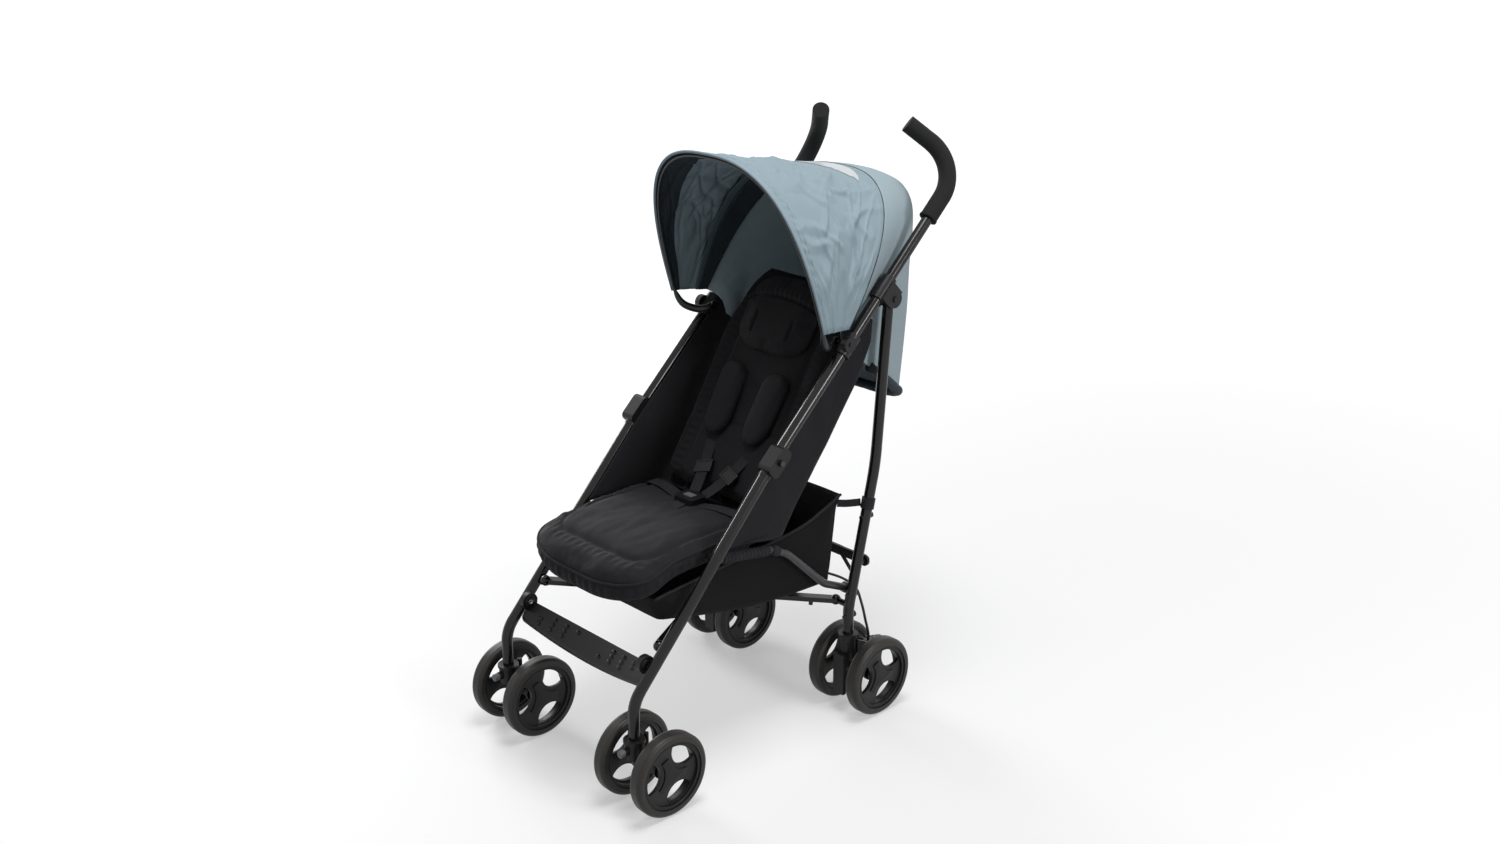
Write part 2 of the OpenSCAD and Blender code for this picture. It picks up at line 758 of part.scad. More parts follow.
module cord(pts, d, n) {
  loft([for (i = [0 : len(pts) - 1]) ring_at(pts[i], way(pts, i), d, n)]);
}

module brake_cable() {
  color("#161617") cord(concat(smooth(cable_route, 4), [cable_route[len(cable_route) - 1]]), cable_d,
    cable_sides);
}

// bars that fold
module rear_bar(left) {
  shift = left ? rear_bar_th + bar_gap : 0;
  color("#1d1d1e") mirrored(left) difference() {
    union() {
      translate([-rear_bar_end, rear_bar_y + shift, rear_bar_p.y - rear_bar_h / 2])
        cube([side_x - rear_boss_d / 2 - 2 * cut_over + rear_bar_end, rear_bar_th, rear_bar_h]);
      translate([side_x - 2 * rear_boss_d, rear_bar_y, rear_bar_p.y - rear_bar_h / 2])
        cube([2 * rear_boss_d - 2 * cut_over, rear_bar_th, rear_bar_h]);
      translate([side_x - 2 * rear_boss_d, rear_bar_y, rear_bar_p.y - rear_bar_h / 2])
        cube([rear_boss_d, rear_bar_th + shift, rear_bar_h]);
      translate([side_x, rear_bar_y, rear_bar_p.y]) along_y(rear_bar_th, rear_boss_d);
      if (!left)
        translate([side_x - bar_pad_at - bar_pad_l, rear_bar_y, rear_bar_p.y - rear_bar_h / 2 + bar_pad_edge])
          cube([bar_pad_l, rear_bar_th + bar_pad_th, rear_bar_h - 2 * bar_pad_edge]);
      rod([side_x - strut_at, rear_bar_y + shift + rear_bar_th / 2, rear_bar_p.y - strut_rise],
        [side_x - strut_at / 3, rear_bar_y + shift + rear_bar_th / 2, rear_bar_p.y - strut_drop],
        strut_d);
    }
    translate([side_x, rear_bar_y - cut_over, rear_bar_p.y])
      along_y(rear_bar_th + 2 * cut_over, rear_pin_d + 2 * run_gap);
    translate([side_x - rear_boss_d / 2 - rear_boss_gap, rear_bar_y + rear_bar_th, rear_bar_p.y - rear_bar_h])
      cube([2 * rear_boss_d, 2 * rear_bar_th, 2 * rear_bar_h]);
  }
  if (left) lever_mount();
}

lever_y = rear_bar_y + 2 * rear_bar_th + lever_back;

module fold_lever() {
  color("#5d6064") translate([-lever_in, lever_y, rear_bar_p.y]) difference() {
    union() {
      across_x(lever_eye_w, lever_eye_d);
      translate([-lever_w / 2, lever_eye_d / 2, -lever_th / 2]) cube([lever_w, lever_l, lever_th]);
      translate([-lever_eye_w / 2, 0, -lever_th / 2]) cube([lever_eye_w, lever_eye_d, lever_th]);
    }
    across_x(lever_w, lever_pin_d + 2 * run_gap);
  }
}

module lever_mount() {
  color("#1d1d1e") for (s = [-1, 1])
    translate([-lever_in + s * (lever_eye_w / 2 + eps_gap + lever_cheek / 2), 0, 0]) {
      translate([-lever_cheek / 2, rear_bar_y + 2 * rear_bar_th, rear_bar_p.y - lever_cheek])
        cube([lever_cheek, lever_back, 2 * lever_cheek]);
      translate([0, lever_y, rear_bar_p.y]) across_x(lever_cheek, 2 * lever_cheek);
    }
  color("#1d1d1e") translate([-lever_in, lever_y, rear_bar_p.y])
    across_x(lever_eye_w + lever_cheek, lever_pin_d);
}

module cross_bar(left) {
  lift = left ? -cross_lift : cross_lift;
  a = [cross_x, cross_rear_p.x, cross_rear_p.y + lift];
  b = [-cross_front_x, cross_front_p.x, cross_front_p.y + lift];
  v = b - a;
  color("#242120") mirrored(left) {
    translate(a) sphere(d = cross_ball_d);
    translate(b) sphere(d = cross_ball_d);
    translate(a) rotate([0, 0, atan2(v.y, v.x)]) rotate([0, -asin(v.z / norm(v)), 0]) {
      translate([0, -cross_bar_w / 2, -cross_bar_h / 2]) cube([norm(v), cross_bar_w, cross_bar_h]);
      translate([norm(v) / 2, 0, left ? -cross_bar_h / 2 - cross_rivet_h : cross_bar_h / 2 - rivet_set])
        cylinder(h = cross_rivet_h + rivet_set, d = cross_rivet_d);
      translate([cross_ball_d + cross_stud_at, 0, -cross_bar_h / 2 - cross_stud_drop])
        cylinder(h = cross_stud_h, d = cross_stud_d);
    }
  }
}

module seat_bar(left) {
  p = seat_bar_pts;
  v = [for (i = [0 : len(p) - 2]) p[i + 1] - p[i]];
  lean = [for (w = v) atan2(-w.x, w.y)];
  turn = [for (i = [0 : len(v) - 2]) lean[i] - lean[i + 1]];
  t = [for (i = [0 : len(turn) - 1]) seat_bar_bends[i] * tan(abs(turn[i]) / 2)];
  eye_w = seat_bar_d + cut_over;
  color("#77797c") mirrored(left) translate([seat_bar_x, 0, 0]) difference() {
    union() {
      translate([0, p[0].x, p[0].y]) across_x(eye_w, seat_eye_d);
      translate([0, p[0].x, p[0].y]) rotate([lean[0], 0, 0])
        bent_tube([[norm(v[0]) - t[0], seat_bar_bends[0], turn[0]],
          [norm(v[1]) - t[0] - t[1], seat_bar_bends[1], turn[1]],
          [norm(v[2]) - t[1] - t[2], seat_bar_bends[2], turn[2]],
          [norm(v[3]) - t[2], 0, 0]], seat_bar_d);
    }
    translate([0, p[0].x, p[0].y]) across_x(2 * eye_w, seat_pin_d + 2 * run_gap);
  }
}

// footrest
function foot_ring(u) =
  let (x = foot_half * u, z = -foot_arch * (1 - u * u), d = foot_depth, t = foot_th, l = foot_lip_h,
    b = -foot_belly * (1 - u * u), w = b + foot_lip_w, m = (b + d) / 2, c = foot_crown)
    [[x, d, z], [x, m, z + c], [x, w, z], [x, b, z - l - t], [x, w, z - l - t], [x, w + t, z - t],
      [x, m, z + c - t], [x, d, z - t]];

module footrest() {
  color("#232325") translate([0, foot_low_p.x, foot_low_p.y]) rotate([foot_tilt, 0, 0]) {
    loft([for (i = [0 : foot_stations]) foot_ring(-1 + 2 * i / foot_stations)]);
    for (s = [-1, 1]) {
      translate([s * (side_x - tube_r - soft_gap - foot_ear_w / 2), foot_ear_at, foot_ear_r / 2])
        across_x(foot_ear_w, 2 * foot_ear_r);
      translate([s * (side_x - tube_r - soft_gap - foot_ear_w - rivet_set), foot_ear_at, foot_ear_r / 2])
        across_x(rivet_h, foot_bolt_d);
    }
  }
}

// soft pieces
module seat_base() {
  color("#17181a") plate_x([[base_front_y, base_z], [base_rear_y, base_z],
    [base_rear_y, base_z + base_th], [base_front_y, base_z + base_th]], 2 * base_half_w);
}

function edge_at(s, share, p) = s < share ? pow(1 - pow(1 - s / share, p), 1 / p) : 1;

function dent(v) = groove_deep * exp(-v * v);

function groove(kind, x, y) =
  kind == "seat" ? dent(max(abs(x) - channel_half, abs(y - channel_mid) - channel_long) / groove_half) :
  kind == "back" ? max(dent((y - back_cross_at) / groove_half),
    dent((abs(x) - back_side_at) / groove_half)) : 0;

// cushion lying on the XY plane, from 0 to l along Y
module cushion(kind, l, w, th, edge_shares, power, rows, cols, drop) {
  rings = [for (i = [0 : rows])
    let (q = (1 - cos(180 * i / rows)) / 2, s = start_share + (1 - 2 * start_share) * q,
      e = edge_at(s, edge_shares.x, power) * edge_at(1 - s, edge_shares.y, power), hw = w * e,
      round_s = edge_at(s, rim_share, rim_power) * edge_at(1 - s, rim_share, rim_power),
      sink = -drop * pow(max(0, 1 - s / drop_share), 2), y = l * s)
      concat(
        [for (j = [0 : cols]) let (u = -1 + 2 * j / cols, x = hw * u)
          [x, y, sink + th * (side_share + (1 - side_share) * round_s * sqrt(1 - crown_share * pow(u, 6)))
            - groove(kind, x, y) * (1 - pow(u, 8)) * round_s]],
        [for (j = [0 : cols]) let (u = 1 - 2 * j / cols, x = hw * u)
          [x, y, sink + th * low_share * (1 - round_s * sqrt(1 - low_crown_share * pow(u, 6)))]])];
  loft(rings);
}

module on_back() {
  translate([0, bite_p.x, bite_p.y]) rotate([90 - back_lean, 0, 0]) children();
}

module seat_pad() {
  color("#1c1c1e") translate([0, seat_front_y, seat_z])
    cushion("seat", seat_l, seat_half_w, seat_pad_th, seat_edge_shares, 2.2, 22, 20, seat_drop);
}

module back_cushion() {
  color("#1a1a1c") on_back() {
    translate([0, back_rod_d, 0])
      cushion("back", back_l, back_half_w, back_pad_th, back_edge_shares, 2.4, 22, 18, 0);
    across_x(2 * (wing_x - cloth_th / 2 - soft_gap), back_rod_d);
    for (s = [-1, 0, 1]) translate([s * back_half_w * tab_share - tab_w / 2, 0, cut_over])
      cube([tab_w, back_rod_d + tab_l, tab_th]);
  }
}

module headrest() {
  color("#1c1c1e") on_back() translate([0, head_at, back_pad_th + eps_gap])
    cushion("plain", head_l, head_half_w, head_th, head_edge_shares, 2.4, 14, 14, 0);
}

module shoulder_pads() {
  color("#1d1d20") on_back() for (s = [-1, 1])
    translate([s * pad_x, pad_at, back_pad_th + strap_rise + strap_th + eps_gap])
      cushion("plain", pad_l, pad_half_w, pad_th, pad_edge_shares, 2.2, 12, 10, 0);
}

module side_wings() {
  color("#151517") for (s = [-1, 1]) translate([s * wing_x, 0, 0]) plate_x(wing_pts, cloth_th);
}

module basket() {
  color("#141415") {
    difference() {
      plate_x(basket_pts, 2 * basket_half_w);
      plate_x(basket_inner, 2 * (basket_half_w - basket_wall));
    }
    for (s = [-1, 1]) mirrored(s < 0) {
      loop_y = rear_bend_p.x - (rear_bend_p.y - loop_z) * tan(rear_lean2);
      translate([side_x, loop_y, loop_z]) rotate([-rear_lean2, 0, 0]) difference() {
        cylinder(h = loop_h, d = tube_d + 2 * loop_gap + 2 * loop_th, center = true);
        cylinder(h = 2 * loop_h, d = tube_d + 2 * loop_gap, center = true);
      }
      translate([0, 0, loop_z - loop_h / 2 + loop_tab_up]) linear_extrude(height = loop_tab_h)
        polygon([[basket_half_w - basket_wall, loop_tab_y + loop_tab_up], [basket_half_w, loop_tab_y],
          [side_x - loop_tab_in.x, loop_y - loop_tab_in.y],
          [side_x - loop_tab_out.x, loop_y - loop_tab_out.y]]);
    }
  }
}

// harness
function strap_ring(p, v, w, t) =
  let (f = v / norm(v), x = [1, 0, 0] - f.x * f, a = x / norm(x), n = cross(a, f))
    [p - a * w / 2 + n * t / 2, p + a * w / 2 + n * t / 2,
      p + a * w / 2 - n * t / 2, p - a * w / 2 - n * t / 2];

function lap_ring(p, v, w, t) =
  let (f = v / norm(v), x = [0, 1, 0] - f.y * f, a = x / norm(x), n = cross(a, f))
    [p - a * w / 2 + n * t / 2, p + a * w / 2 + n * t / 2,
      p + a * w / 2 - n * t / 2, p - a * w / 2 - n * t / 2];

function back_point(x, y, z) = [x, bite_p.x + y * sin(back_lean) - z * cos(back_lean),
  bite_p.y + y * cos(back_lean) + z * sin(back_lean)];

strap_mid_z = back_pad_th + strap_rise + strap_th / 2;
strap_end = [strap_end_x, buckle_y + buckle_l / 2 + strap_end_gap, buckle_z + buckle_h - strap_end_drop];
shoulder_route = [for (p = [0 : 5])
  back_point(pad_x, strap_top_at + (strap_low_at - strap_top_at) * p / 5,
    strap_mid_z + (p == 5 ? strap_lift : 0))];
drop_route = concat(shoulder_route, [for (p = [1 : 4])
  let (t = p / 4, a = shoulder_route[5], b = strap_end) a + (b - a) * t - [0, 0, strap_sag * sin(180 * t)]]);

module shoulder_straps() {
  color("#202124") for (s = [0, 1]) mirrored(s == 1)
    loft([for (i = [0 : len(drop_route) - 1])
      strap_ring(drop_route[i], way(drop_route, i), strap_w, strap_th)]);
}

module lap_straps() {
  crotch_end = buckle_y - buckle_l / 2 - soft_gap;
  lap_z = buckle_z + strap_th / 2 + lap_lift;
  lap = [for (p = [0 : 5]) let (t = p / 5)
    [lap_x + (buckle_w / 2 + lap_gap - lap_x) * t, lap_y + (buckle_y - lap_y) * t,
      lap_z + lap_rise * sin(180 * t)]];
  color("#202124") {
    for (s = [0, 1]) mirrored(s == 1)
      loft([for (i = [0 : len(lap) - 1]) lap_ring(lap[i], way(lap, i), strap_w, strap_th)]);
    plate_x([[crotch_y, buckle_z + crotch_lift], [crotch_end, buckle_z + crotch_rise],
      [crotch_end, buckle_z + crotch_rise + strap_th], [crotch_y, buckle_z + crotch_lift + strap_th]],
      strap_w);
  }
}

module strap_sliders() {
  i = 7;
  p = drop_route[i];
  v = way(drop_route, i);
  f = v / norm(v);
  x = [1, 0, 0] - f.x * f;
  a = x / norm(x);
  n = cross(a, f);
  color("#161617") for (s = [0, 1]) mirrored(s == 1)
    multmatrix([[a.x, f.x, n.x, p.x], [a.y, f.y, n.y, p.y], [a.z, f.z, n.z, p.z], [0, 0, 0, 1]])
      difference() {
        cube([slider_w, slider_l, slider_th], center = true);
        cube([strap_w + slider_slot_w, 2 * slider_l, strap_th + slider_slot_h], center = true);
      }
}

module buckle() {
  color("#131314") translate([0, buckle_y, buckle_z]) difference() {
    linear_extrude(height = buckle_h) rounded(buckle_w, buckle_l, buckle_round);
    translate([-button_w / 2 - button_gap, -button_l / 2 - button_gap, buckle_h - pocket_deep])
      cube([button_w + 2 * button_gap, button_l + 2 * button_gap, 2 * pocket_deep]);
  }
}

module buckle_button() {
  color("#3a3b3d")
    translate([-button_w / 2, buckle_y - button_l / 2, buckle_z + buckle_h - pocket_deep + button_floor])
    cube([button_w, button_l, pocket_deep - button_floor + button_out]);
}

// canopy
function arch_at(t, w, foot, top, p) =
  let (c = cos(t), s = sin(t), x = w * sign(c) * pow(abs(c), p), h = pow(abs(s), p))
    [x, foot.x + (top.x - foot.x) * h, foot.y + (top.y - foot.y) * h];

function canopy_ring(w, foot, top, p, th) =
  let (l = norm(top - foot), inner = foot + (top - foot) * (1 - th / l))
    concat([for (j = [0 : canopy_cols]) arch_at(180 - 180 * j / canopy_cols, w, foot, top, p)],
      [for (j = [0 : canopy_cols]) arch_at(180 * j / canopy_cols, w - th, foot, inner, p)]);

module canopy_front() {
  rear_w = side_x + canopy_rear_out;
  color("#8297a1") loft([for (i = [0 : canopy_rows])
    let (s = i / canopy_rows, w = canopy_half_w + (rear_w - canopy_half_w) * s,
      foot = front_foot + (rear_foot - front_foot) * s - [seam_gap * s, 0],
      top = front_top + (rear_top - front_top) * s - [seam_gap * s, canopy_sag * sin(180 * s)])
      canopy_ring(w, foot, top, arch_power, canopy_th)]);
}

module canopy_rear() {
  color("#8b9fa9") loft([for (i = [0 : len(flap_tops) - 1])
    canopy_ring(side_x - flap_in[i], flap_feet[i], flap_tops[i], flap_powers[i], canopy_th)]);
}

module front_bow() {
  l = norm(front_top - front_foot);
  top = front_foot + (front_top - front_foot) * (1 - bow_inset / l);
  w = canopy_half_w - bow_inset;
  back = [cut_over, 0];
  arc = [for (i = [0 : bow_steps])
    arch_at(180 * i / bow_steps, w, front_foot + back, top + back, arch_power)];
  eye = [bow_eye_x, bow_p.x - bow_eye_d / 2 + cut_over, bow_p.y + bow_rise];
  hook = eye + bow_hook;
  route = concat([eye, hook], arc, [[-hook.x, hook.y, hook.z], [-eye.x, eye.y, eye.z]]);
  color("#1b1d20") {
    cord(route, bow_d, 8);
    for (s = [-1, 1]) translate([s * bow_eye_x, bow_p.x, bow_p.y]) difference() {
      across_x(bow_eye_w, bow_eye_d);
      across_x(2 * bow_eye_w, bow_pin_d + 2 * run_gap);
    }
  }
}

handle_tube(false);  // handle_tube_r
handle_tube(true);  // handle_tube_l
grip(false);  // grip_r
grip(true);  // grip_l
upper_bracket(false);  // upper_bracket_r
upper_bracket(true);  // upper_bracket_l
canopy_clip(false);  // canopy_clip_r
canopy_clip(true);  // canopy_clip_l
mid_joint(false);  // mid_joint_r
mid_joint(true);  // mid_joint_l
front_leg(false);  // front_leg_r
front_leg(true);  // front_leg_l
caster(false);  // caster_r
caster(true);  // caster_l
swivel_lock(false);  // swivel_lock_r
swivel_lock(true);  // swivel_lock_l
tyres(false, front_axle_y);  // front_tyres_r
tyres(true, front_axle_y);  // front_tyres_l
rims(false, front_axle_y);  // front_rims_r
rims(true, front_axle_y);  // front_rims_l
axle(false, front_axle_y);  // front_axle_r
axle(true, front_axle_y);  // front_axle_l
tyres(false, rear_axle_y);  // rear_tyres_r
tyres(true, rear_axle_y);  // rear_tyres_l
rims(false, rear_axle_y);  // rear_rims_r
rims(true, rear_axle_y);  // rear_rims_l
axle(false, rear_axle_y);  // rear_axle_r
axle(true, rear_axle_y);  // rear_axle_l
rear_leg(false);  // rear_leg_r
rear_leg(true);  // rear_leg_l
rear_housing(false);  // rear_housing_r
rear_housing(true);  // rear_housing_l
brake_pedal(false);  // brake_pedal_r
brake_pedal(true);  // brake_pedal_l
rear_bar(false);  // rear_bar_r
rear_bar(true);  // rear_bar_l
cross_bar(false);  // cross_bar_r
cross_bar(true);  // cross_bar_l
seat_bar(false);  // seat_bar_r
seat_bar(true);  // seat_bar_l
brake_cable();
fold_lever();
footrest();
seat_base();
seat_pad();
side_wings();
basket();
back_cushion();
headrest();
shoulder_pads();
shoulder_straps();
lap_straps();
strap_sliders();
buckle();
buckle_button();
canopy_front();
canopy_rear();
front_bow();
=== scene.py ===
"""Umbrella stroller: cloth, foam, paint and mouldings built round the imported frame."""

import json
from math import copysign, cos, exp, hypot, pi, radians, sin

import bmesh
import bpy
import numpy as np
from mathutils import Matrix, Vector, noise


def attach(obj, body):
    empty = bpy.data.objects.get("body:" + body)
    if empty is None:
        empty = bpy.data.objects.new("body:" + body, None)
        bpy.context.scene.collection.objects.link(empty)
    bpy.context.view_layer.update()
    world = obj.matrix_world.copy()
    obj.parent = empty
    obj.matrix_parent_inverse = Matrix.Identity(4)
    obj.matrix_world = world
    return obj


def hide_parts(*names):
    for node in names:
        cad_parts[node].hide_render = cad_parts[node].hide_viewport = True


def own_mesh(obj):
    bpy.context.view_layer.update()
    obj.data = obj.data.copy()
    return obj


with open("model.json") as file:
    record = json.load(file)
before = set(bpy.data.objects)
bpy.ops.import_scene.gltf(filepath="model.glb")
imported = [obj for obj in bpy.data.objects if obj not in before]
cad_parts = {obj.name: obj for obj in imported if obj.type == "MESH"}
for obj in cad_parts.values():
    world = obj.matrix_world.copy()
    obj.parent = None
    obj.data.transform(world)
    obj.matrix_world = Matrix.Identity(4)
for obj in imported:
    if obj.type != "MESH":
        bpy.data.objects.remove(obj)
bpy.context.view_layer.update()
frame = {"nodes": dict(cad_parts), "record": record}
cad = frame["nodes"]
scene = bpy.context.scene
MM = 0.001
SIDES = {"r": 1, "l": -1}
ALONG_X = (0, pi / 2, 0)

# the fold draws the sides in; pieces given a keep get a mesh of their own
FOLD_KEEP = 0.33

# ---- finishes


def new_group(name, inputs, outputs):
    """A node group with the named sockets, and its two end nodes."""
    group = bpy.data.node_groups.new(name, "ShaderNodeTree")
    for way, sockets in (("INPUT", inputs), ("OUTPUT", outputs)):
        for label, kind in sockets.items():
            group.interface.new_socket(label, in_out=way, socket_type="NodeSocket" + kind)
    return group, group.nodes.new("NodeGroupInput"), group.nodes.new("NodeGroupOutput")


def put(tree, kind, values=(), **props):
    made = tree.nodes.new("ShaderNode" + kind)
    for key, value in props.items():
        setattr(made, key, value)
    for key, value in dict(values).items():
        made.inputs[key].default_value = value
    return made


def mottle_group():
    """Two close shades of one colour in soft patches, and a roughness that follows them."""
    group, given, out = new_group(
        "mottle", {"Dark": "Color", "Light": "Color", "Patch": "Float", "Rough": "Float",
                   "Spread": "Float"}, {"Color": "Color", "Roughness": "Float"})
    link = group.links.new
    place = put(group, "TexCoord")
    cloud = put(group, "TexNoise", {"Detail": 4.0, "Roughness": 0.6})
    link(place.outputs["Object"], cloud.inputs["Vector"])
    link(given.outputs["Patch"], cloud.inputs["Scale"])
    shade = put(group, "Mix", data_type="RGBA")
    link(cloud.outputs["Fac"], shade.inputs["Factor"])
    link(given.outputs["Dark"], shade.inputs["A"])
    link(given.outputs["Light"], shade.inputs["B"])
    spread = put(group, "Math", operation="MULTIPLY_ADD")
    link(cloud.outputs["Fac"], spread.inputs[0])
    link(given.outputs["Spread"], spread.inputs[1])
    link(given.outputs["Rough"], spread.inputs[2])
    link(shade.outputs["Result"], out.inputs["Color"])
    link(spread.outputs[0], out.inputs["Roughness"])
    return group


def grain_group():
    """Fine moulded grain, foam skin or paint peel."""
    group, given, out = new_group("grain", {"Size": "Float"}, {"Height": "Float"})
    place = put(group, "TexCoord")
    speck = put(group, "TexNoise", {"Detail": 3.0, "Roughness": 0.55})
    group.links.new(place.outputs["Object"], speck.inputs["Vector"])
    group.links.new(given.outputs["Size"], speck.inputs["Scale"])
    group.links.new(speck.outputs["Fac"], out.inputs["Height"])
    return group


def weave_group():
    """Threads that cross on any face."""
    group, given, out = new_group("weave", {"Threads": "Float"}, {"Height": "Float"})
    link = group.links.new
    place = put(group, "TexCoord")
    total = None
    for axis in ("X", "Y", "Z"):
        thread = put(group, "TexWave", {"Distortion": 0.6, "Detail": 1.0},
                     wave_type="BANDS", bands_direction=axis, wave_profile="SIN")
        link(place.outputs["Object"], thread.inputs["Vector"])
        link(given.outputs["Threads"], thread.inputs["Scale"])
        if total is None:
            total = thread.outputs["Fac"]
        else:
            added = put(group, "Math", operation="ADD")
            link(total, added.inputs[0])
            link(thread.outputs["Fac"], added.inputs[1])
            total = added.outputs[0]
    link(total, out.inputs["Height"])
    return group


MOTTLE, GRAIN, WEAVE = mottle_group(), grain_group(), weave_group()


def srgb(r, g, b):
    def lin(v):
        v /= 255
        return v / 12.92 if v <= 0.04045 else ((v + 0.055) / 1.055) ** 2.4
    return (lin(r), lin(g), lin(b), 1.0)


def finish(name, dark, light, rough, spread=0.1, patch=40, size=900, weave=False, depth=0.05,
           reach=0.0004, shine=0.5, **principled):
    """A finish in two shades (0 to 255), with a spread of roughness about its mean.

    Patch and size say how fine the shades and the relief are, depth and reach how strong the
    relief is. Shine is the specular level, and the rest goes to the shader by name.
    """
    material = bpy.data.materials.new(name)
    material.use_nodes = True
    tree = material.node_tree
    link = tree.links.new
    shader = tree.nodes["Principled BSDF"]
    shader.inputs["Specular IOR Level"].default_value = shine
    for key, value in principled.items():
        shader.inputs[key.replace("_", " ")].default_value = value
    tone = put(tree, "Group", node_tree=MOTTLE,
               values={"Dark": srgb(*dark), "Light": srgb(*light), "Patch": patch,
                       "Rough": rough - spread / 2, "Spread": spread})
    link(tone.outputs["Color"], shader.inputs["Base Color"])
    link(tone.outputs["Roughness"], shader.inputs["Roughness"])
    skin = put(tree, "Group", {"Threads" if weave else "Size": size},
               node_tree=WEAVE if weave else GRAIN)
    bump = put(tree, "Bump", {"Strength": depth, "Distance": reach})
    link(skin.outputs["Height"], bump.inputs["Height"])
    link(bump.outputs["Normal"], shader.inputs["Normal"])
    return material


CANOPY = dict(spread=0.08, patch=9, size=300, weave=True, depth=0.2, reach=0.0003)
LOOK = {row["name"]: finish(**row) for row in (
    dict(name="frame_paint", dark=(17, 16, 16), light=(23, 22, 21), rough=0.17, spread=0.06,
         patch=30, size=1400, depth=0.02, shine=0.32),
    dict(name="grip_foam", dark=(22, 22, 23), light=(30, 30, 31), rough=0.86, spread=0.08,
         patch=60, size=1500, depth=0.35, reach=0.0006, shine=0.25),
    dict(name="black_plastic", dark=(17, 17, 18), light=(24, 24, 25), rough=0.4, size=1800,
         depth=0.1, shine=0.25),
    dict(name="grey_plastic", dark=(88, 91, 95), light=(100, 103, 107), rough=0.5, size=1800,
         depth=0.12),
    dict(name="tyre_foam", dark=(36, 34, 33), light=(44, 42, 40), rough=0.44, patch=26,
         size=1300, depth=0.08, shine=0.3),
    dict(name="rim_plastic", dark=(18, 18, 19), light=(25, 25, 26), rough=0.38, size=1800,
         depth=0.1, shine=0.25),
    dict(name="steel", dark=(150, 152, 155), light=(176, 178, 180), rough=0.3, patch=50,
         depth=0.04, Metallic=1.0),
    dict(name="bar_metal", dark=(58, 58, 60), light=(74, 74, 76), rough=0.36, Metallic=0.7),
    dict(name="bow_steel", dark=(24, 25, 28), light=(31, 33, 36), rough=0.4, shine=0.4),
    dict(name="cable_sheath", dark=(16, 16, 17), light=(23, 23, 24), rough=0.45, patch=50,
         shine=0.3),
    dict(name="black_cloth", dark=(28, 28, 30), light=(41, 41, 44), rough=0.8, spread=0.08,
         patch=34, size=330, weave=True, depth=0.35, reach=0.0003, shine=0.12,
         Sheen_Weight=0.03, Sheen_Roughness=0.4),
    dict(name="webbing", dark=(28, 28, 31), light=(40, 40, 44), rough=0.72, patch=60, size=220,
         weave=True, depth=0.6, reach=0.0005, shine=0.2),
    dict(name="basket_net", dark=(19, 19, 20), light=(28, 28, 30), rough=0.82, patch=30,
         size=200, weave=True, depth=0.7, reach=0.0006, shine=0.12),
    dict(name="dark_binding", dark=(48, 56, 63), light=(59, 68, 75), rough=0.75, size=260,
         weave=True, depth=0.4, shine=0.15),
    dict(name="canopy_cloth", dark=(133, 150, 159), light=(147, 164, 172), rough=0.74,
         shine=0.2, **CANOPY),
    # a lighter copy of the canopy cloth: painted light on the turned-down back of the canopy
    dict(name="flap_cloth_painted_light", dark=(146, 162, 169), light=(157, 173, 179), rough=0.74,
         shine=0.2, **CANOPY),
    # a darker copy of the canopy cloth: painted shade for the cloth under the canopy
    dict(name="canopy_lining_painted_shade", dark=(84, 99, 107), light=(94, 110, 118), rough=0.8,
         shine=0.15, **CANOPY),
    dict(name="pale_panel", dark=(176, 182, 185), light=(198, 203, 206), rough=0.35, patch=30),
)}

for row in frame["record"]["subparts"]:
    shape = cad[row["node"]].data
    shape.materials.clear()
    shape.materials.append(LOOK[row["material_slot"]])

# ---- tools


STEPS_A_SPAN = 24


def smooth_route(points, count):
    """Even points along a rounded line through the given ones."""
    p = np.asarray(points, float)
    ends = np.vstack([2 * p[0] - p[1], p, 2 * p[-1] - p[-2]])
    fine = []
    for i in range(len(p) - 1):
        a, b, c, d = ends[i:i + 4]
        for t in np.linspace(0, 1, STEPS_A_SPAN, endpoint=False):
            fine.append(0.5 * (2 * b + (c - a) * t + (2 * a - 5 * b + 4 * c - d) * t * t
                               + (3 * b - a - 3 * c + d) * t ** 3))
    fine.append(p[-1])
    return even_route(fine, count)


def gone_at(p):
    """How far along a route each of its points lies."""
    return np.concatenate([[0], np.cumsum(np.linalg.norm(np.diff(p, axis=0), axis=1))])


def even_route(points, count):
    p = np.asarray(points, float)
    gone = gone_at(p)
    at = np.linspace(0, gone[-1], count)
    return np.stack([np.interp(at, gone, p[:, k]) for k in range(p.shape[1])], 1)


def grid_faces(rows, cols):
    return [(i * cols + j, i * cols + j + 1, (i + 1) * cols + j + 1, (i + 1) * cols + j)
            for i in range(rows - 1) for j in range(cols - 1)]


def settle(obj, name, body, slot, look=None, keep=FOLD_KEEP, stands_for=None):
    """Names a finished piece, gives it its finish and sets it on its body."""
    obj.name = obj.data.name = name
    obj.data.materials.clear()
    obj.data.materials.append(LOOK[look or slot])
    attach(obj, body)
    if keep:
        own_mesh(obj)
    if stands_for:
        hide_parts(stands_for)
    return obj


def from_points(name, verts, faces):
    shape = bpy.data.meshes.new(name)
    shape.from_pydata([tuple(v) for v in np.asarray(verts, float) * MM], [], faces)
    shape.update()
    obj = bpy.data.objects.new(name, shape)
    scene.collection.objects.link(obj)
    shape.shade_smooth()
    return obj


def outward(obj):
    work = bmesh.new()
    work.from_mesh(obj.data)
    bmesh.ops.remove_doubles(work, verts=work.verts, dist=1e-5)
    bmesh.ops.recalc_face_normals(work, faces=work.faces)
    work.to_mesh(obj.data)
    work.free()
    return obj


# no route starts along this direction
SIDE_HINT = (0.31, 0.17, 0.93)


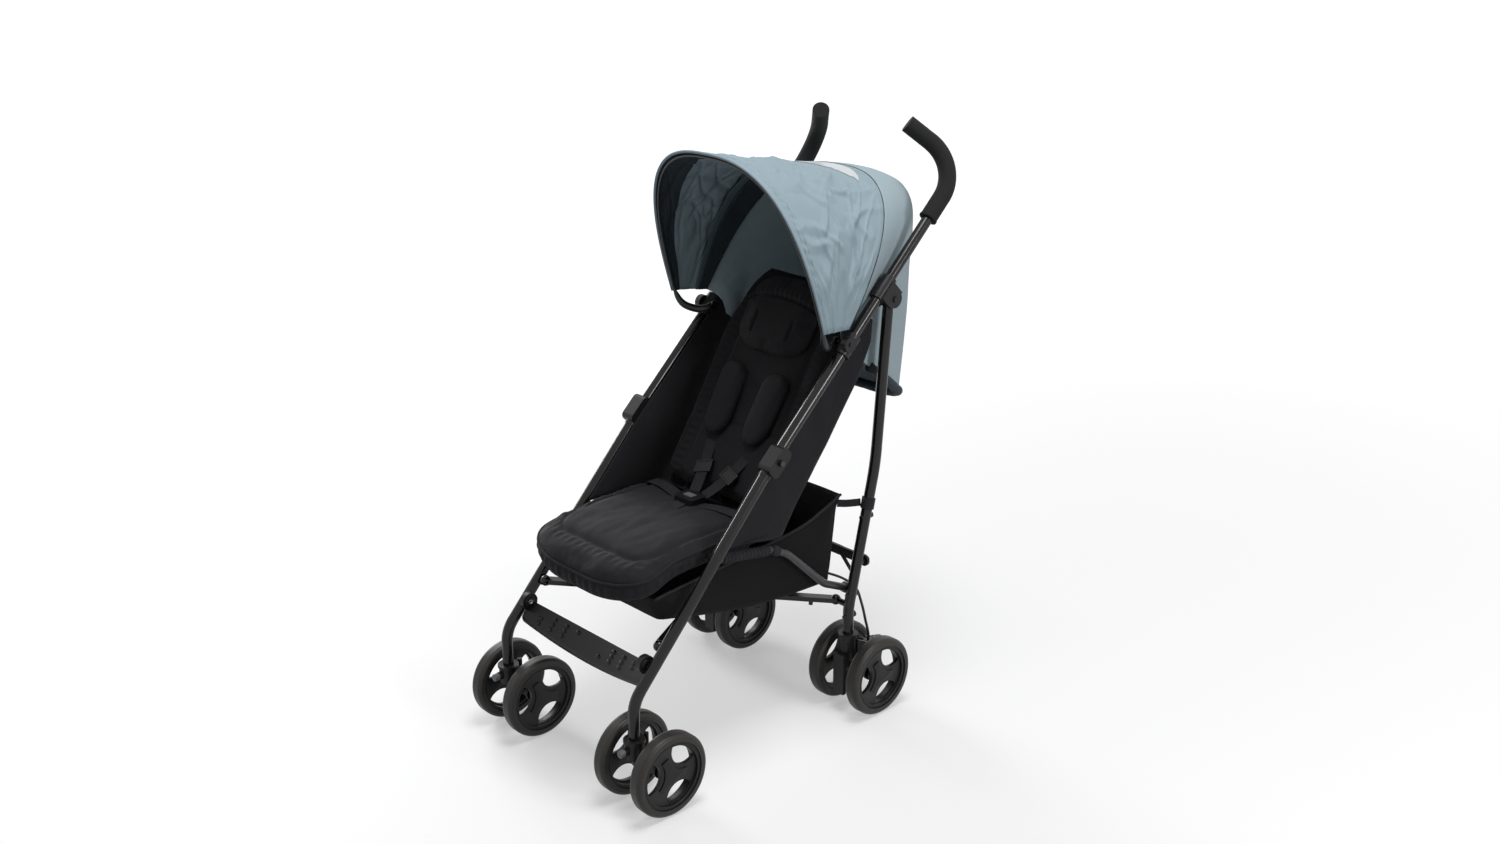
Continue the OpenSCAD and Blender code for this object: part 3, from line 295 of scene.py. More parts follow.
def tube(name, route, radius, sides=12):
    """A round cord along a route, with closed ends; radius may be a list."""
    p = np.asarray(route, float)
    radii = np.broadcast_to(np.asarray(radius, float), (len(p),))
    ahead = np.gradient(p, axis=0)
    ahead /= np.linalg.norm(ahead, axis=1)[:, None]
    side = np.cross(ahead[0], SIDE_HINT)
    verts = []
    for k in range(len(p)):
        side = side - ahead[k] * (side @ ahead[k])
        side /= np.linalg.norm(side)
        up = np.cross(ahead[k], side)
        for j in range(sides):
            a = 2 * pi * j / sides
            verts.append(p[k] + radii[k] * (cos(a) * side + sin(a) * up))
    faces = [(k * sides + j, k * sides + (j + 1) % sides,
              (k + 1) * sides + (j + 1) % sides, (k + 1) * sides + j)
             for k in range(len(p) - 1) for j in range(sides)]
    faces.append(tuple(range(sides))[::-1])
    faces.append(tuple(len(verts) - sides + j for j in range(sides)))
    return outward(from_points(name, verts, faces))


def pick(*objs):
    """Selects these pieces alone, the first of them active."""
    bpy.ops.object.select_all(action="DESELECT")
    for o in objs:
        o.select_set(True)
    bpy.context.view_layer.objects.active = objs[0]


def merged(*objs):
    pick(*objs)
    bpy.ops.object.join()
    return bpy.context.view_layer.objects.active


def apply_all(obj):
    pick(obj)
    for m in list(obj.modifiers):
        bpy.ops.object.modifier_apply(modifier=m.name)
    return obj


def thick(obj, depth):
    m = obj.modifiers.new("cloth", "SOLIDIFY")
    m.thickness, m.offset = depth * MM, 0
    return apply_all(obj)


def cloth(name, verts, rows, cols, depth):
    """A sheet of even depth through a grid of points."""
    return thick(outward(from_points(name, verts, grid_faces(rows, cols))), depth)


def started(primitive, scale=(1, 1, 1), **how):
    """A primitive to model from, with its place, turn and scale applied."""
    bpy.ops.object.select_all(action="DESELECT")
    primitive(**how)
    obj = bpy.context.object
    obj.scale = scale
    bpy.ops.object.transform_apply(location=True, rotation=True, scale=True)
    return obj


def inset_faces(obj, chosen, steps, each=True):
    """Insets the faces with a chosen normal, step by step: millimetres in and up."""
    bpy.ops.object.mode_set(mode="EDIT")
    work = bmesh.from_edit_mesh(obj.data)
    for side in work.faces:
        side.select = chosen(side.normal)
    bmesh.update_edit_mesh(obj.data)
    for wide, deep in steps:
        bpy.ops.mesh.inset(thickness=wide * MM, depth=deep * MM, use_individual=each)
    bpy.ops.object.mode_set(mode="OBJECT")


def softened(obj, width, segments=3, angle=35):
    m = obj.modifiers.new("soft", "BEVEL")
    m.width, m.segments, m.limit_method = width * MM, segments, "ANGLE"
    m.angle_limit = radians(angle)
    return apply_all(obj)


def smooth_by_angle(obj):
    pick(obj)
    bpy.ops.object.shade_smooth_by_angle(angle=radians(30))
    return obj


def points_of(obj):
    co = np.zeros(len(obj.data.vertices) * 3)
    obj.data.vertices.foreach_get("co", co)
    return co.reshape(-1, 3)


def set_points(obj, co):
    obj.data.vertices.foreach_set("co", np.ascontiguousarray(co, dtype=np.float32).ravel())
    obj.data.update()


def rough_at(x, y, z):
    return noise.noise(Vector((x, y, z)))


def grid_normals(grid):
    a = np.gradient(grid, axis=0)
    b = np.gradient(grid, axis=1)
    n = np.cross(a, b)
    return n / np.maximum(np.linalg.norm(n, axis=2), 1e-9)[:, :, None]


# ---- canopy

FRONT_FOOT, FRONT_TOP = np.array([58.0, 752]), np.array([-33.0, 1043])
REAR_FOOT, REAR_TOP = np.array([128.0, 745]), np.array([290.0, 985])
FRONT_HALF, REAR_HALF = 199.0, 189.0
ARCH_POWER, SAG = 0.74, 7.0
PANEL_ROWS, PANEL_COLS = 108, 232
PANEL_WIDE, PANEL_DEEP = 680, 360
WINDOW_AT, WINDOW_DEEP, WINDOW_TURN = 0.87, 0.075, 0.42
# height, slant in degrees, length, width and seed of each family of creases
CREASES = ((6.4, 62, 170, 62, 5.3), (5.6, 24, 150, 50, 8.7), (4.6, -38, 130, 46, 11.9))
FAR_SIDE_SEED = 5.0


def arch(t, half, foot, top, power):
    c, s = cos(t), sin(t)
    h = abs(s) ** power
    return [half * copysign(abs(c) ** power, c),
            foot[0] + (top[0] - foot[0]) * h, foot[1] + (top[1] - foot[1]) * h]


def panel_at(s, t, inside=0.0):
    half = FRONT_HALF + (REAR_HALF - FRONT_HALF) * s - inside
    foot = FRONT_FOOT + (REAR_FOOT - FRONT_FOOT) * s
    top = FRONT_TOP + (REAR_TOP - FRONT_TOP) * s - [0, SAG * sin(pi * s)]
    reach = np.linalg.norm(top - foot)
    return np.array(arch(t, half, foot, foot + (top - foot) * (1 - inside / reach), ARCH_POWER))


def crease(along, across, turn, long, short, seed):
    """A sharp crest along a slanting line: 1 on it, 0 a little way off."""
    c, d = cos(radians(turn)), sin(radians(turn))
    place = ((along * c + across * d) / long, (across * c - along * d) / short)
    return max(0.0, 1 - 6.5 * abs(rough_at(*place, seed)))


def panel_folds(s, t):
    """Creases across the panel, few by the bows and the window, and puckers at the front hem."""
    ease = max(0.0, sin(pi * s)) ** 0.6
    along, across, side = t / pi * PANEL_WIDE, s * PANEL_DEEP, 0.0
    if t > pi / 2:
        along, side = PANEL_WIDE - along, FAR_SIDE_SEED
    made = 4.5 * rough_at(along / 190, across / 75, 3.1 + side)
    for high, turn, long, short, seed in CREASES:
        made += high * crease(along, across, turn, long, short, seed + side)
    made += 1.6 * rough_at(along / 34, across / 26, 7.7 + side)
    pucker = 0.7 * sin(along * 0.42) * exp(-((s - 0.065) / 0.03) ** 2)
    taut = 0.5 + 0.5 * abs(cos(t)) ** 0.7
    calm = min(1.0, hypot((s - WINDOW_AT) / 0.13, (t - pi / 2) / 0.55) ** 2)
    return ease * made * min(1.0, 0.35 + along / 120) * (0.15 + 0.85 * calm) * taut + pucker


def canopy_panel():
    def over(rule):
        return np.array([[rule(i / (PANEL_ROWS - 1), pi * j / (PANEL_COLS - 1))
                          for j in range(PANEL_COLS)] for i in range(PANEL_ROWS)])
    grid, folds = over(panel_at), over(panel_folds)
    grid = grid + grid_normals(grid) * folds[:, :, None]
    obj = from_points("canopy_panel", grid.reshape(-1, 3), grid_faces(PANEL_ROWS, PANEL_COLS))
    return grid, thick(obj, 1.4)


panel_grid, panel = canopy_panel()
settle(panel, "canopy_panel", "canopy", "canopy_cloth", stands_for="canopy_front")


def strip_on(grid, rows, lift, name):
    """A band sewn on some rows of a grid, lifted off it along its normals."""
    part = (grid + grid_normals(grid) * lift)[rows[0]:rows[1]]
    return thick(from_points(name, part.reshape(-1, 3), grid_faces(*part.shape[:2])), 1.0)


front_hem = settle(tube("front_hem", panel_grid[0], 2.6, 10), "canopy_front_hem", "canopy",
                   "canopy_cloth")
panel_up = grid_normals(panel_grid)[PANEL_ROWS // 2, PANEL_COLS // 2, 2]
inner = -1.8 if panel_up > 0 else 1.8
front_band = settle(strip_on(panel_grid, (0, 25), inner, "front_band"), "canopy_front_band",
                    "canopy", "canopy_cloth", "dark_binding")
rear_seam = settle(tube("rear_seam", panel_grid[-1], 1.6, 8), "canopy_rear_seam", "canopy",
                   "canopy_cloth", "dark_binding")


def stitch_line(s, name):
    row = int(round(s * (PANEL_ROWS - 1)))
    lifted = panel_grid[row] - np.sign(inner) * grid_normals(panel_grid)[row] * 0.6
    return settle(tube(name, lifted, 0.7, 6), name, "canopy", "canopy_cloth")


seams = [stitch_line(0.045, "front_stitch_a"), stitch_line(0.085, "front_stitch_b"),
         stitch_line(0.965, "rear_stitch")]


def canopy_window():
    """The pale lens-shaped panel at the top, just ahead of the rear bow."""
    rows, cols = 21, 80
    verts = []
    for i in range(rows):
        for j in range(cols):
            a = -1 + 2 * j / (cols - 1)
            b = (-1 + 2 * i / (rows - 1)) * (1 - a * a)
            s, t = WINDOW_AT + WINDOW_DEEP * b, pi / 2 - a * WINDOW_TURN
            here = panel_at(s, t)
            n = np.cross(panel_at(s + 0.01, t) - here, panel_at(s, t + 0.01) - here)
            n /= np.linalg.norm(n)
            n *= copysign(1, n[2])
            verts.append(here + n * (panel_folds(s, t) + 1.5))
    return cloth("canopy_window", verts, rows, cols, 0.5)


window = settle(canopy_window(), "canopy_window", "canopy", "canopy_cloth", "pale_panel")

FLAP_TOPS = [[290, 985], [350, 974], [395, 946], [405, 880], [392, 760], [372, 650], [352, 556]]
FLAP_FEET = [[128, 745], [132, 742], [136, 738], [140, 731], [144, 722], [147, 711], [150, 700]]
FLAP_IN = [-8, 8, 19, 24, 25, 26, 26]
FLAP_HALF = 181
FLAP_POWERS = [.74, .72, .68, .63, .58, .53, .5]


def canopy_flap():
    """The back of the canopy: it turns down behind the seat and hangs in soft folds."""
    rows, cols = 56, 100
    tops, feet = smooth_route(FLAP_TOPS, rows), smooth_route(FLAP_FEET, rows)
    at = np.linspace(0, len(FLAP_IN) - 1, rows)
    inset = np.interp(at, range(len(FLAP_IN)), FLAP_IN)
    powers = np.interp(at, range(len(FLAP_POWERS)), FLAP_POWERS)
    grid = np.array([[arch(pi * j / (cols - 1), FLAP_HALF - inset[i], feet[i], tops[i],
                           powers[i]) for j in range(cols)] for i in range(rows)])
    folds = np.zeros((rows, cols))
    for i in range(rows):
        low = i / (rows - 1)
        for j in range(cols):
            level = max(0.0, sin(pi * j / (cols - 1)))
            x = grid[i, j, 0]
            hang = low ** 1.5 * (4 * sin(x * 0.075 + 1.2 * sin(low * 4)) +
                                 2.2 * sin(x * 0.17 + 2 + low * 3))
            folds[i, j] = (hang * level + 2.6 * max(0.0, sin(pi * low)) ** 0.5 *
                           rough_at(x * 0.014, low * 5.5, 1.3)) * level ** 0.7
            folds[i, j] -= 3.0 * (1 - level) * min(1, 3 * low)
    normals = grid_normals(grid)
    normals *= copysign(1, normals[rows // 2, cols // 2, 1])
    grid = grid + normals * folds[:, :, None]
    obj = from_points("canopy_flap", grid.reshape(-1, 3), grid_faces(rows, cols))
    return grid, thick(obj, 1.2)


flap_grid, flap = canopy_flap()
# the flap wears the lighter copy of the canopy cloth, which is painted light
settle(flap, "canopy_flap", "seat", "canopy_cloth", "flap_cloth_painted_light", stands_for="canopy_rear")
roll = tube("flap_roll", flap_grid[-1][4:-4], 9.0, 14)
settle(roll, "canopy_flap_roll", "seat", "canopy_cloth", "dark_binding")


def under_layer(share, inside, rows, name):
    """Cloth under the panel that stays with the rear bow when the front tilts."""
    cols = 80
    grid = np.array([[panel_at(1.0 - share * i / (rows - 1), pi * j / (cols - 1), inside)
                      for j in range(cols)] for i in range(rows)])
    return cloth(name, grid.reshape(-1, 3), rows, cols, 1.0)


# the lining wears the darker copy of the canopy cloth, which is painted shade
lining = settle(under_layer(0.34, 6.0, 16, "lining"), "canopy_lining_painted_shade", "seat", "canopy_cloth",
                "canopy_lining_painted_shade")
rear_band = settle(under_layer(0.27, 7.8, 10, "rear_band"), "canopy_rear_band", "seat",
                   "canopy_cloth", "dark_binding")

BOW_STEPS, BOW_INSET = 150, 6.5
BOW_END = [[159, 117, 719], [161, 106, 716], [172, 92, 716], [186, 72, 727]]
BOW_END_RADIUS, BOW_SLIMMER, BOW_TAPER = 7.2, 4.6, 0.09


def bow_wire():
    """The front bow: a wire with thick hooked ends, each with an eye on the clip."""
    arc = [panel_at(0.012, pi * k / 60, BOW_INSET) for k in range(61)]
    near, far = ([[s * x, y, z] for x, y, z in BOW_END] for s in (1, -1))
    route = smooth_route(near + arc + far[::-1], BOW_STEPS)
    along = np.linspace(0, 1, BOW_STEPS)
    ends_in = np.clip(np.minimum(along, 1 - along) / BOW_TAPER, 0, 1)
    wire = tube("wire", route, BOW_END_RADIUS - BOW_SLIMMER * ends_in ** 5, 12)
    eyes = []
    for s in (1, -1):
        eyes.append(started(
            bpy.ops.mesh.primitive_torus_add,
            location=(s * 0.159, 0.125, 0.719), rotation=ALONG_X,
            major_radius=0.0062, minor_radius=0.0026, major_segments=28, minor_segments=10))
        eyes[-1].data.shade_smooth()
    return merged(wire, *eyes)


settle(bow_wire(), "front_bow_wire", "canopy", "bow_steel", stands_for="front_bow")

# ---- pads

BITE_Y, BITE_Z, LEAN = -8.0, 396.0, radians(31)


def on_back(x, y, z):
    return np.array([x, BITE_Y + y * sin(LEAN) - z * cos(LEAN),
                     BITE_Z + y * cos(LEAN) + z * sin(LEAN)])


def to_back(co):
    """Back-rest coordinates (across, up the back, out of it) of points in the part's frame."""
    dy, dz = co[:, 1] - BITE_Y, co[:, 2] - BITE_Z
    return np.stack([co[:, 0], dy * sin(LEAN) + dz * cos(LEAN),
                     -dy * cos(LEAN) + dz * sin(LEAN)], 1)


FILL_FRAMES = 20


def stuffed(node, voxel, cap, pressure):
    """A pad blown up from its CAD form: remeshed, filled as cloth, then subdivided once."""
    obj = bpy.data.objects.new(node + "_soft", cad[node].data.copy())
    scene.collection.objects.link(obj)
    outward(obj)
    net = obj.modifiers.new("net", "REMESH")
    net.mode = "VOXEL"
    net.voxel_size = voxel * MM
    ease = obj.modifiers.new("ease", "SMOOTH")
    ease.factor, ease.iterations = 0.5, 4
    apply_all(obj)
    start = points_of(obj)
    fill = obj.modifiers.new("fill", "CLOTH")
    for key, value in dict(quality=4, mass=0.3, tension_stiffness=14,
                           compression_stiffness=14, shear_stiffness=6,
                           bending_stiffness=0.4, use_pressure=True,
                           uniform_pressure_force=pressure).items():
        setattr(fill.settings, key, value)
    fill.settings.effector_weights.gravity = 0
    fill.collision_settings.use_collision = False
    fill.point_cache.frame_start, fill.point_cache.frame_end = 1, FILL_FRAMES
    for f in range(1, FILL_FRAMES + 1):
        scene.frame_set(f)
    seen = obj.evaluated_get(bpy.context.evaluated_depsgraph_get())
    blown = points_of(seen)
    obj.modifiers.remove(fill)
    scene.frame_set(1)
    move = blown - start
    move -= move.mean(0)
    length = np.linalg.norm(move, axis=1)
    move *= (np.minimum(length, cap * MM) / np.maximum(length, 1e-9))[:, None]
    set_points(obj, start + move)
    finer = obj.modifiers.new("finer", "SUBSURF")
    finer.levels = finer.render_levels = 1
    apply_all(obj)
    obj.data.shade_smooth()
    return obj


def dented(obj, dents, axis):
    """Presses seams and channels into a pad: dents(co) gives millimetres along axis."""
    co = points_of(obj)
    set_points(obj, co + np.outer(dents(co / MM), axis) * MM)


def bell(v, half):
    return np.exp(-(v / half) ** 2)


SEAT_MID_Y, SEAT_FRONT, SEAT_LONG = -168.0, -348, 312
NOSE_DROP, NOSE_FROM, NOSE_LONG = 13.0, -170.0, 178.0


def nose(y):
    """How far the front of the seat hangs below its solid."""
    return NOSE_DROP * np.clip((NOSE_FROM - y) / NOSE_LONG, 0, 1) ** 1.6


def seat_dents(co):
    x, y, z = co.T
    over_x, over_y = np.abs(x) - 77, np.abs(y + 160) - 85
    ring = (np.hypot(np.maximum(over_x, 0), np.maximum(over_y, 0)) +
            np.minimum(np.maximum(over_x, over_y), 0) - 45)
    top = np.clip((z - 396) / 14, 0, 1)
    channel = -3.6 * bell(ring, 5.0)
    around = np.where(np.abs(x) < 118, x, np.sign(x) * (118 + y + 290))
    gather = 0.8 * np.sin(around * 0.36) * bell(ring - 15, 11)
    rumple = np.array([2.6 * rough_at(a * 0.017, b * 0.012, 4.4) +
                       1.4 * rough_at(a * 0.05, b * 0.03, 8.1) for a, b in zip(x, y)])
    return (channel + gather + rumple) * top


seat = stuffed("seat_pad", 5.0, 7.0, 4.0)
dented(seat, seat_dents, (0, 0, 1))
hang = points_of(seat)
hang[:, 2] -= nose(hang[:, 1] / MM) * MM
set_points(seat, hang)


def back_dents(co):
    x, y, z = to_back(co).T
    front = np.clip((z - 8) / 10, 0, 1)
    across = -3.0 * bell(y - 150, 6) * (np.abs(x) < 150)
    down = -3.0 * bell(np.abs(x) - 96, 6)
    gather = 1.0 * np.sin(y * 0.42) * bell(np.abs(x) - 112, 9)
    rumple = np.array([3.0 * rough_at(a * 0.02, b * 0.011, 6.4) for a, b in zip(x, y)])
    return (np.minimum(across, down) + gather + rumple) * front


BACK_OUT = (0, -cos(LEAN), sin(LEAN))
back = stuffed("back_cushion", 5.0, 6.0, 4.0)
dented(back, back_dents, BACK_OUT)


def head_dents(co):
    x, y, z = to_back(co).T
    front = np.clip((z - 30) / 8, 0, 1)
    line = 396 - 0.0016 * x * x
    seam = -4.5 * bell(y - line, 3.5)
    gather = 1.2 * np.sin(x * 0.5) * bell(y - line - 8, 9)
    slots = -5.0 * bell(np.abs(x) - 46, 3.0) * np.clip((22 - np.abs(y - 340)) / 4, 0, 1)
    return (seam + gather + slots) * front


head = stuffed("headrest", 3.6, 5.0, 4.0)
dented(head, head_dents, BACK_OUT)
shoulder = stuffed("shoulder_pads", 3.0, 3.0, 3.0)
PAD_X, PAD_UP, PAD_OUT = 52, 186, 29
spread = to_back(points_of(shoulder) / MM)
spread[:, 1] = PAD_UP + (spread[:, 1] - PAD_UP) * 1.2
spread[:, 2] = PAD_OUT + (spread[:, 2] - PAD_OUT) * 1.25
lean_in = PAD_X - (PAD_UP - spread[:, 1]) * 0.05
spread[:, 0] = np.sign(spread[:, 0]) * (lean_in + (np.abs(spread[:, 0]) - PAD_X) * 1.16)
set_points(shoulder, np.array([on_back(*p) for p in spread]) * MM)
for piece, name, body, node in ((seat, "seat_cushion", "seat", "seat_pad"),
                                (back, "back_pad", "back", "back_cushion"),
                                (head, "head_pad", "back", "headrest"),
                                (shoulder, "shoulder_covers", "back", "shoulder_pads")):
    settle(piece, name, body, "black_cloth", stands_for=node)

RAY_START, RAY_LONG = 0.06, 0.16


def edge_of(obj, outline, inward, lift):
    """Points of an outline brought on to the skin of a pad."""
    found = []
    for p in outline:
        aim = Vector(inward(p)).normalized()
        start = Vector(p * MM) - aim * RAY_START
        hit, place, normal, _ = obj.ray_cast(start, aim, distance=RAY_LONG)
        if hit:
            found.append((np.array(place) + np.array(normal) * lift * MM) / MM)
    return np.array(found)


def pad_outline(half, low, length, lows, tops, power, count):
    """Plan outline of a pad: left rear, round the front and back to right rear."""
    def edge(s, share):
        return (1 - (1 - s / share) ** power) ** (1 / power) if s < share else 1.0
    shares = np.sin(np.linspace(0, pi / 2, count)) ** 2
    right = [[half * edge(s, lows) * edge(1 - s, tops), low + length * s] for s in shares]
    left = [[-x, y] for x, y in right]
    return np.array(left[::-1] + right[1:])


PIPING_Z, FRONT_DIP, SEAT_REAR = 391.3 + 17, 24, -50
plan = pad_outline(156, SEAT_FRONT, SEAT_LONG, 0.2, 0.08, 2.2, 90)
plan = plan[plan[:, 1] < SEAT_REAR]
rim = np.array([[x, y, PIPING_Z - FRONT_DIP * max(0, 1 - (y - SEAT_FRONT) / SEAT_LONG / 0.5) ** 2
                 - nose(y)] for x, y in plan])
piping_line = edge_of(seat, rim, lambda p: (-p[0], SEAT_MID_Y - p[1], 0), 1.2)
piping_line = smooth_route(piping_line[::3], 260)
settle(tube("seat_piping", piping_line, 2.6, 10), "seat_piping", "seat", "black_cloth")

APRON_DROP = 30.0


def seat_apron():
    """The gathered band that hangs under the piping, round the front of the seat."""
    rows, cols = 10, len(piping_line)
    verts = []
    gone = gone_at(piping_line)
    for i in range(rows):
        v = i / (rows - 1)
        for j in range(cols):
            p = piping_line[j].copy()
            away = np.array([p[0], p[1] - SEAT_MID_Y, 0.0])
            away /= np.linalg.norm(away)
            wave = sin(gone[j] * 0.33) + 0.6 * sin(gone[j] * 0.19 + 1)
            p += away * (-1.0 + 3.0 * sin(pi * v) - 5.0 * v * v + 1.2 * wave * sin(pi * v))
            p[2] -= APRON_DROP * v
            verts.append(p)
    return cloth("seat_apron", verts, rows, cols, 1.4)


apron = settle(seat_apron(), "seat_apron", "seat", "black_cloth")

BACK_LOW, BACK_LONG, BACK_HALF = -4, 456, 152.5


def back_panel():
    """The cloth behind the back cushion, from side to side between the side panels."""
    rows, cols = 40, 40
    verts = []
    for i in range(rows):
        y = BACK_LOW + BACK_LONG * i / (rows - 1)
        half = BACK_HALF * (1 - max(0, (y - 330) / 125) ** 3.2 * 0.3)
        for j in range(cols):
            u = -1 + 2 * j / (cols - 1)
            bulge = 4 * (1 - u * u) + 1.5 * rough_at(u * 2.1, y * 0.012, 2.0)
            verts.append(on_back(u * half, y, -4.5 - bulge))
    return cloth("back_panel", verts, rows, cols, 1.6)


rear_cloth = settle(back_panel(), "back_panel", "back", "black_cloth")

# ---- cloth sides and basket

WING_FRONT = [[-176, 404], [-47, 545], [10, 598], [100, 685], [140, 722], [176, 742]]
WING_REAR = [[-24, 404], [-22, 388], [4, 386], [40, 440], [114, 534], [188, 640], [216, 700],
             [214, 742]]
WING_X = 168.0
CURL, CURL_FROM, CURL_SHARE = 14.5, 0.84, 0.16
PINCH, PINCH_Z, PINCH_HALF = 3.5, 708, 24


def wing(s):
    """One side panel: along the tubes at the front, curled in behind the back cushion."""
    rows, cols = 64, 40
    front, rear = even_route(WING_FRONT, rows), even_route(WING_REAR, rows)
    verts = []
    for i in range(rows):
        for j in range(cols):
            v = j / (cols - 1)
            y, z = front[i] * (1 - v) + rear[i] * v
            slack = sin(pi * v) * sin(pi * i / (rows - 1)) ** 0.6
            x = WING_X - slack * (4 + 4.5 * rough_at(y * 0.02, z * 0.011, s * 4.0))
            curl = CURL * max(0, (v - CURL_FROM) / CURL_SHARE) ** 2.2
            x -= curl + PINCH * exp(-((z - PINCH_Z) / PINCH_HALF) ** 2) * (1 - v)
            verts.append([s * x, y, z])
    return cloth("wing", verts, rows, cols, 1.6)


wings = merged(wing(1), wing(-1))
settle(wings, "side_panels", "seat", "black_cloth", stands_for="side_wings")

BAG_LOW = [[158, 419], [150, 340], [139, 256], [120, 246], [-60, 257], [-240, 295], [-262, 306],
           [-282, 350]]
BAG_RIM = [[158, 419], [120, 402], [60, 382], [-60, 368], [-282, 350]]


def bag():
    """The basket as rings across it, rear to front: wall, corner, floor, corner, wall."""
    rows, side_n, turn_n, floor_n, corner = 60, 12, 6, 28, 22
    low, rim_line = smooth_route(BAG_LOW, rows), smooth_route(BAG_RIM, rows)
    rings = []
    for i in range(rows):
        k = i / (rows - 1)
        ring = []
        half = 148 - 3 * sin(pi * k)
        tall = np.linalg.norm(rim_line[i] - low[i])
        turn = min(corner, tall * 0.7)
        for j in range(side_n):
            v = j / side_n
            y, z = rim_line[i] + (low[i] - rim_line[i]) * v * (1 - turn / max(tall, 1e-6))
            ring.append([-half - 4 * sin(pi * v) * min(1, tall / 60), y, z])
        down = (low[i] - rim_line[i]) / max(tall, 1e-6)
        for j in range(turn_n):
            a = pi / 2 * j / turn_n
            y, z = low[i] - down * turn * (1 - sin(a))
            ring.append([-half + corner * (1 - cos(a)), y, z])
        for j in range(floor_n + 1):
            u = -1 + 2 * j / floor_n
            x = u * (half - corner)
            sag = 5 * (1 - u * u) * sin(pi * k)
            y, z = low[i]
            wave = 2.2 * rough_at(x * 0.016, y * 0.014, 5.0 + z * 0.014)
            ring.append([x, y - (0.9 if z > 300 and y < 0 else -0.9 if y > 60 else 0) * wave,
                         z - sag + (wave if 240 < z < 300 else 0)])
        left = ring[:side_n + turn_n]
        ring += [[-p[0], p[1], p[2]] for p in left[::-1]]
        rings.append(ring)
    edges = [np.array([r[k] for r in rings]) for k in (0, -1)]
    return cloth("bag", sum(rings, []), rows, len(rings[0]), 1.4), edges


basket, bag_edges = bag()
bindings = merged(*[tube("bag_edge", e, 2.6, 8) for e in bag_edges])
settle(basket, "basket_bag", "seat", "black_cloth", "basket_net", stands_for="basket")
settle(bindings, "basket_binding", "seat", "webbing")

seat_board = started(bpy.ops.mesh.primitive_cube_add, (0.30, 0.1626, 0.0045), size=1,
                     location=(0, -0.0947, 0.3885))
softened(seat_board, 1.5, 2, 30)
settle(seat_board, "seat_board", "seat", "black_cloth", stands_for="seat_base")

# ---- harness

WEB_WIDE, WEB_DEEP = 24, 1.6
WEB_STEPS = (-0.5, -0.44, 0.0, 0.44, 0.5)


def ribbon(route, wide, depth, across=(1, 0, 0)):
    """Flat webbing along a route, its width square to the route and close to across."""
    p = np.asarray(route, float)
    ahead = np.gradient(p, axis=0)
    verts = []
    for k in range(len(p)):
        f = ahead[k] / np.linalg.norm(ahead[k])
        a = np.asarray(across, float) - f * (f @ np.asarray(across, float))
        a /= np.linalg.norm(a)
        for u in WEB_STEPS:
            verts.append(p[k] + a * wide * u)
    return cloth("ribbon", verts, len(p), len(WEB_STEPS), depth)


STRAP_END, STRAP_SAG = np.array([13, -55.4, 433.5]), 7
shoulder_line = [on_back(PAD_X, 262 - 30 * k, 27.6 + (2 if k == 5 else 0)) for k in range(6)]
pad_end = shoulder_line[5]
for t in (0.25, 0.5, 0.75, 1.0):
    shoulder_line.append(pad_end + (STRAP_END - pad_end) * t - [0, 0, STRAP_SAG * sin(pi * t)])
shoulder_line = smooth_route(shoulder_line, 60)
both = [ribbon(shoulder_line * [s, 1, 1], WEB_WIDE, WEB_DEEP) for s in (1, -1)]
shoulder_straps = settle(merged(*both), "shoulder_webbing", "back", "webbing",
                         stands_for="shoulder_straps")

lap = [[126 - 101 * k / 5, -58 - 18 * k / 5, 425.3 + 5 * sin(pi * k / 5)] for k in range(6)]
lap = smooth_route([[150, -40, 412]] + lap, 40)
straps = [ribbon(lap * [s, 1, 1], WEB_WIDE, WEB_DEEP, (0, 1, 0)) for s in (1, -1)]
straps.append(ribbon(smooth_route([[0, -142, 419], [0, -120, 425], [0, -95.6, 428.6]], 20),
                     WEB_WIDE, WEB_DEEP))
lap_straps = settle(merged(*straps), "lap_webbing", "seat", "webbing", stands_for="lap_straps")

SLIDER_AT = 46


def slider(s):
    """A strap adjuster: a flat block with a sunk face, set square to the strap."""
    at = shoulder_line[SLIDER_AT]
    ahead = shoulder_line[SLIDER_AT + 1] - shoulder_line[SLIDER_AT - 1]
    f = ahead / np.linalg.norm(ahead)
    a = np.array([1.0, 0, 0]) - f * f[0]
    a /= np.linalg.norm(a)
    ring = started(bpy.ops.mesh.primitive_cube_add, (0.037, 0.025, 0.0065), size=1)
    inset_faces(ring, lambda n: abs(n.z) > 0.9, ((3.4, 0), (0.2, -1.3)))
    softened(ring, 0.9, 2, 30)
    turn = np.stack([a, f, np.cross(a, f)], 1)
    set_points(ring, (points_of(ring) @ turn.T + at * MM) * [s, 1, 1])
    if s < 0:
        outward(ring)
    return ring


settle(merged(slider(1), slider(-1)), "strap_adjusters", "back", "black_plastic",
       stands_for="strap_sliders")

# ---- basket loops

LEG_AXIS = np.array([0.0, 0.2238, 0.9746])
LOOP_AT, LOOP_RADIUS = np.array([181.0, 195.2, 402.0]), 11.6
TAB = [[146.5, 151, 403], [156, 166, 401.5], [171.3, 186, 403]]


def leg_loop(s):
    """The band round a rear leg that holds the rear of the basket."""
    side = np.cross(LEG_AXIS, [1.0, 0, 0])
    ring = [LOOP_AT + LOOP_RADIUS * (cos(a) * np.array([1.0, 0, 0]) + sin(a) * side)
            for a in np.linspace(0, 2 * pi, 49)]
    return ribbon(np.array(ring) * [s, 1, 1], 20, 1.8, LEG_AXIS)


for key, s in SIDES.items():
    settle(leg_loop(s), f"basket_loop_{key}", f"rear_{key}", "webbing", keep=None)
tabs = [ribbon(smooth_route(TAB, 16) * [s, 1, 1], 14, 1.8, (0, 0, 1)) for s in (1, -1)]
settle(merged(*tabs), "basket_tabs", "seat", "webbing")

# ---- footrest and cable

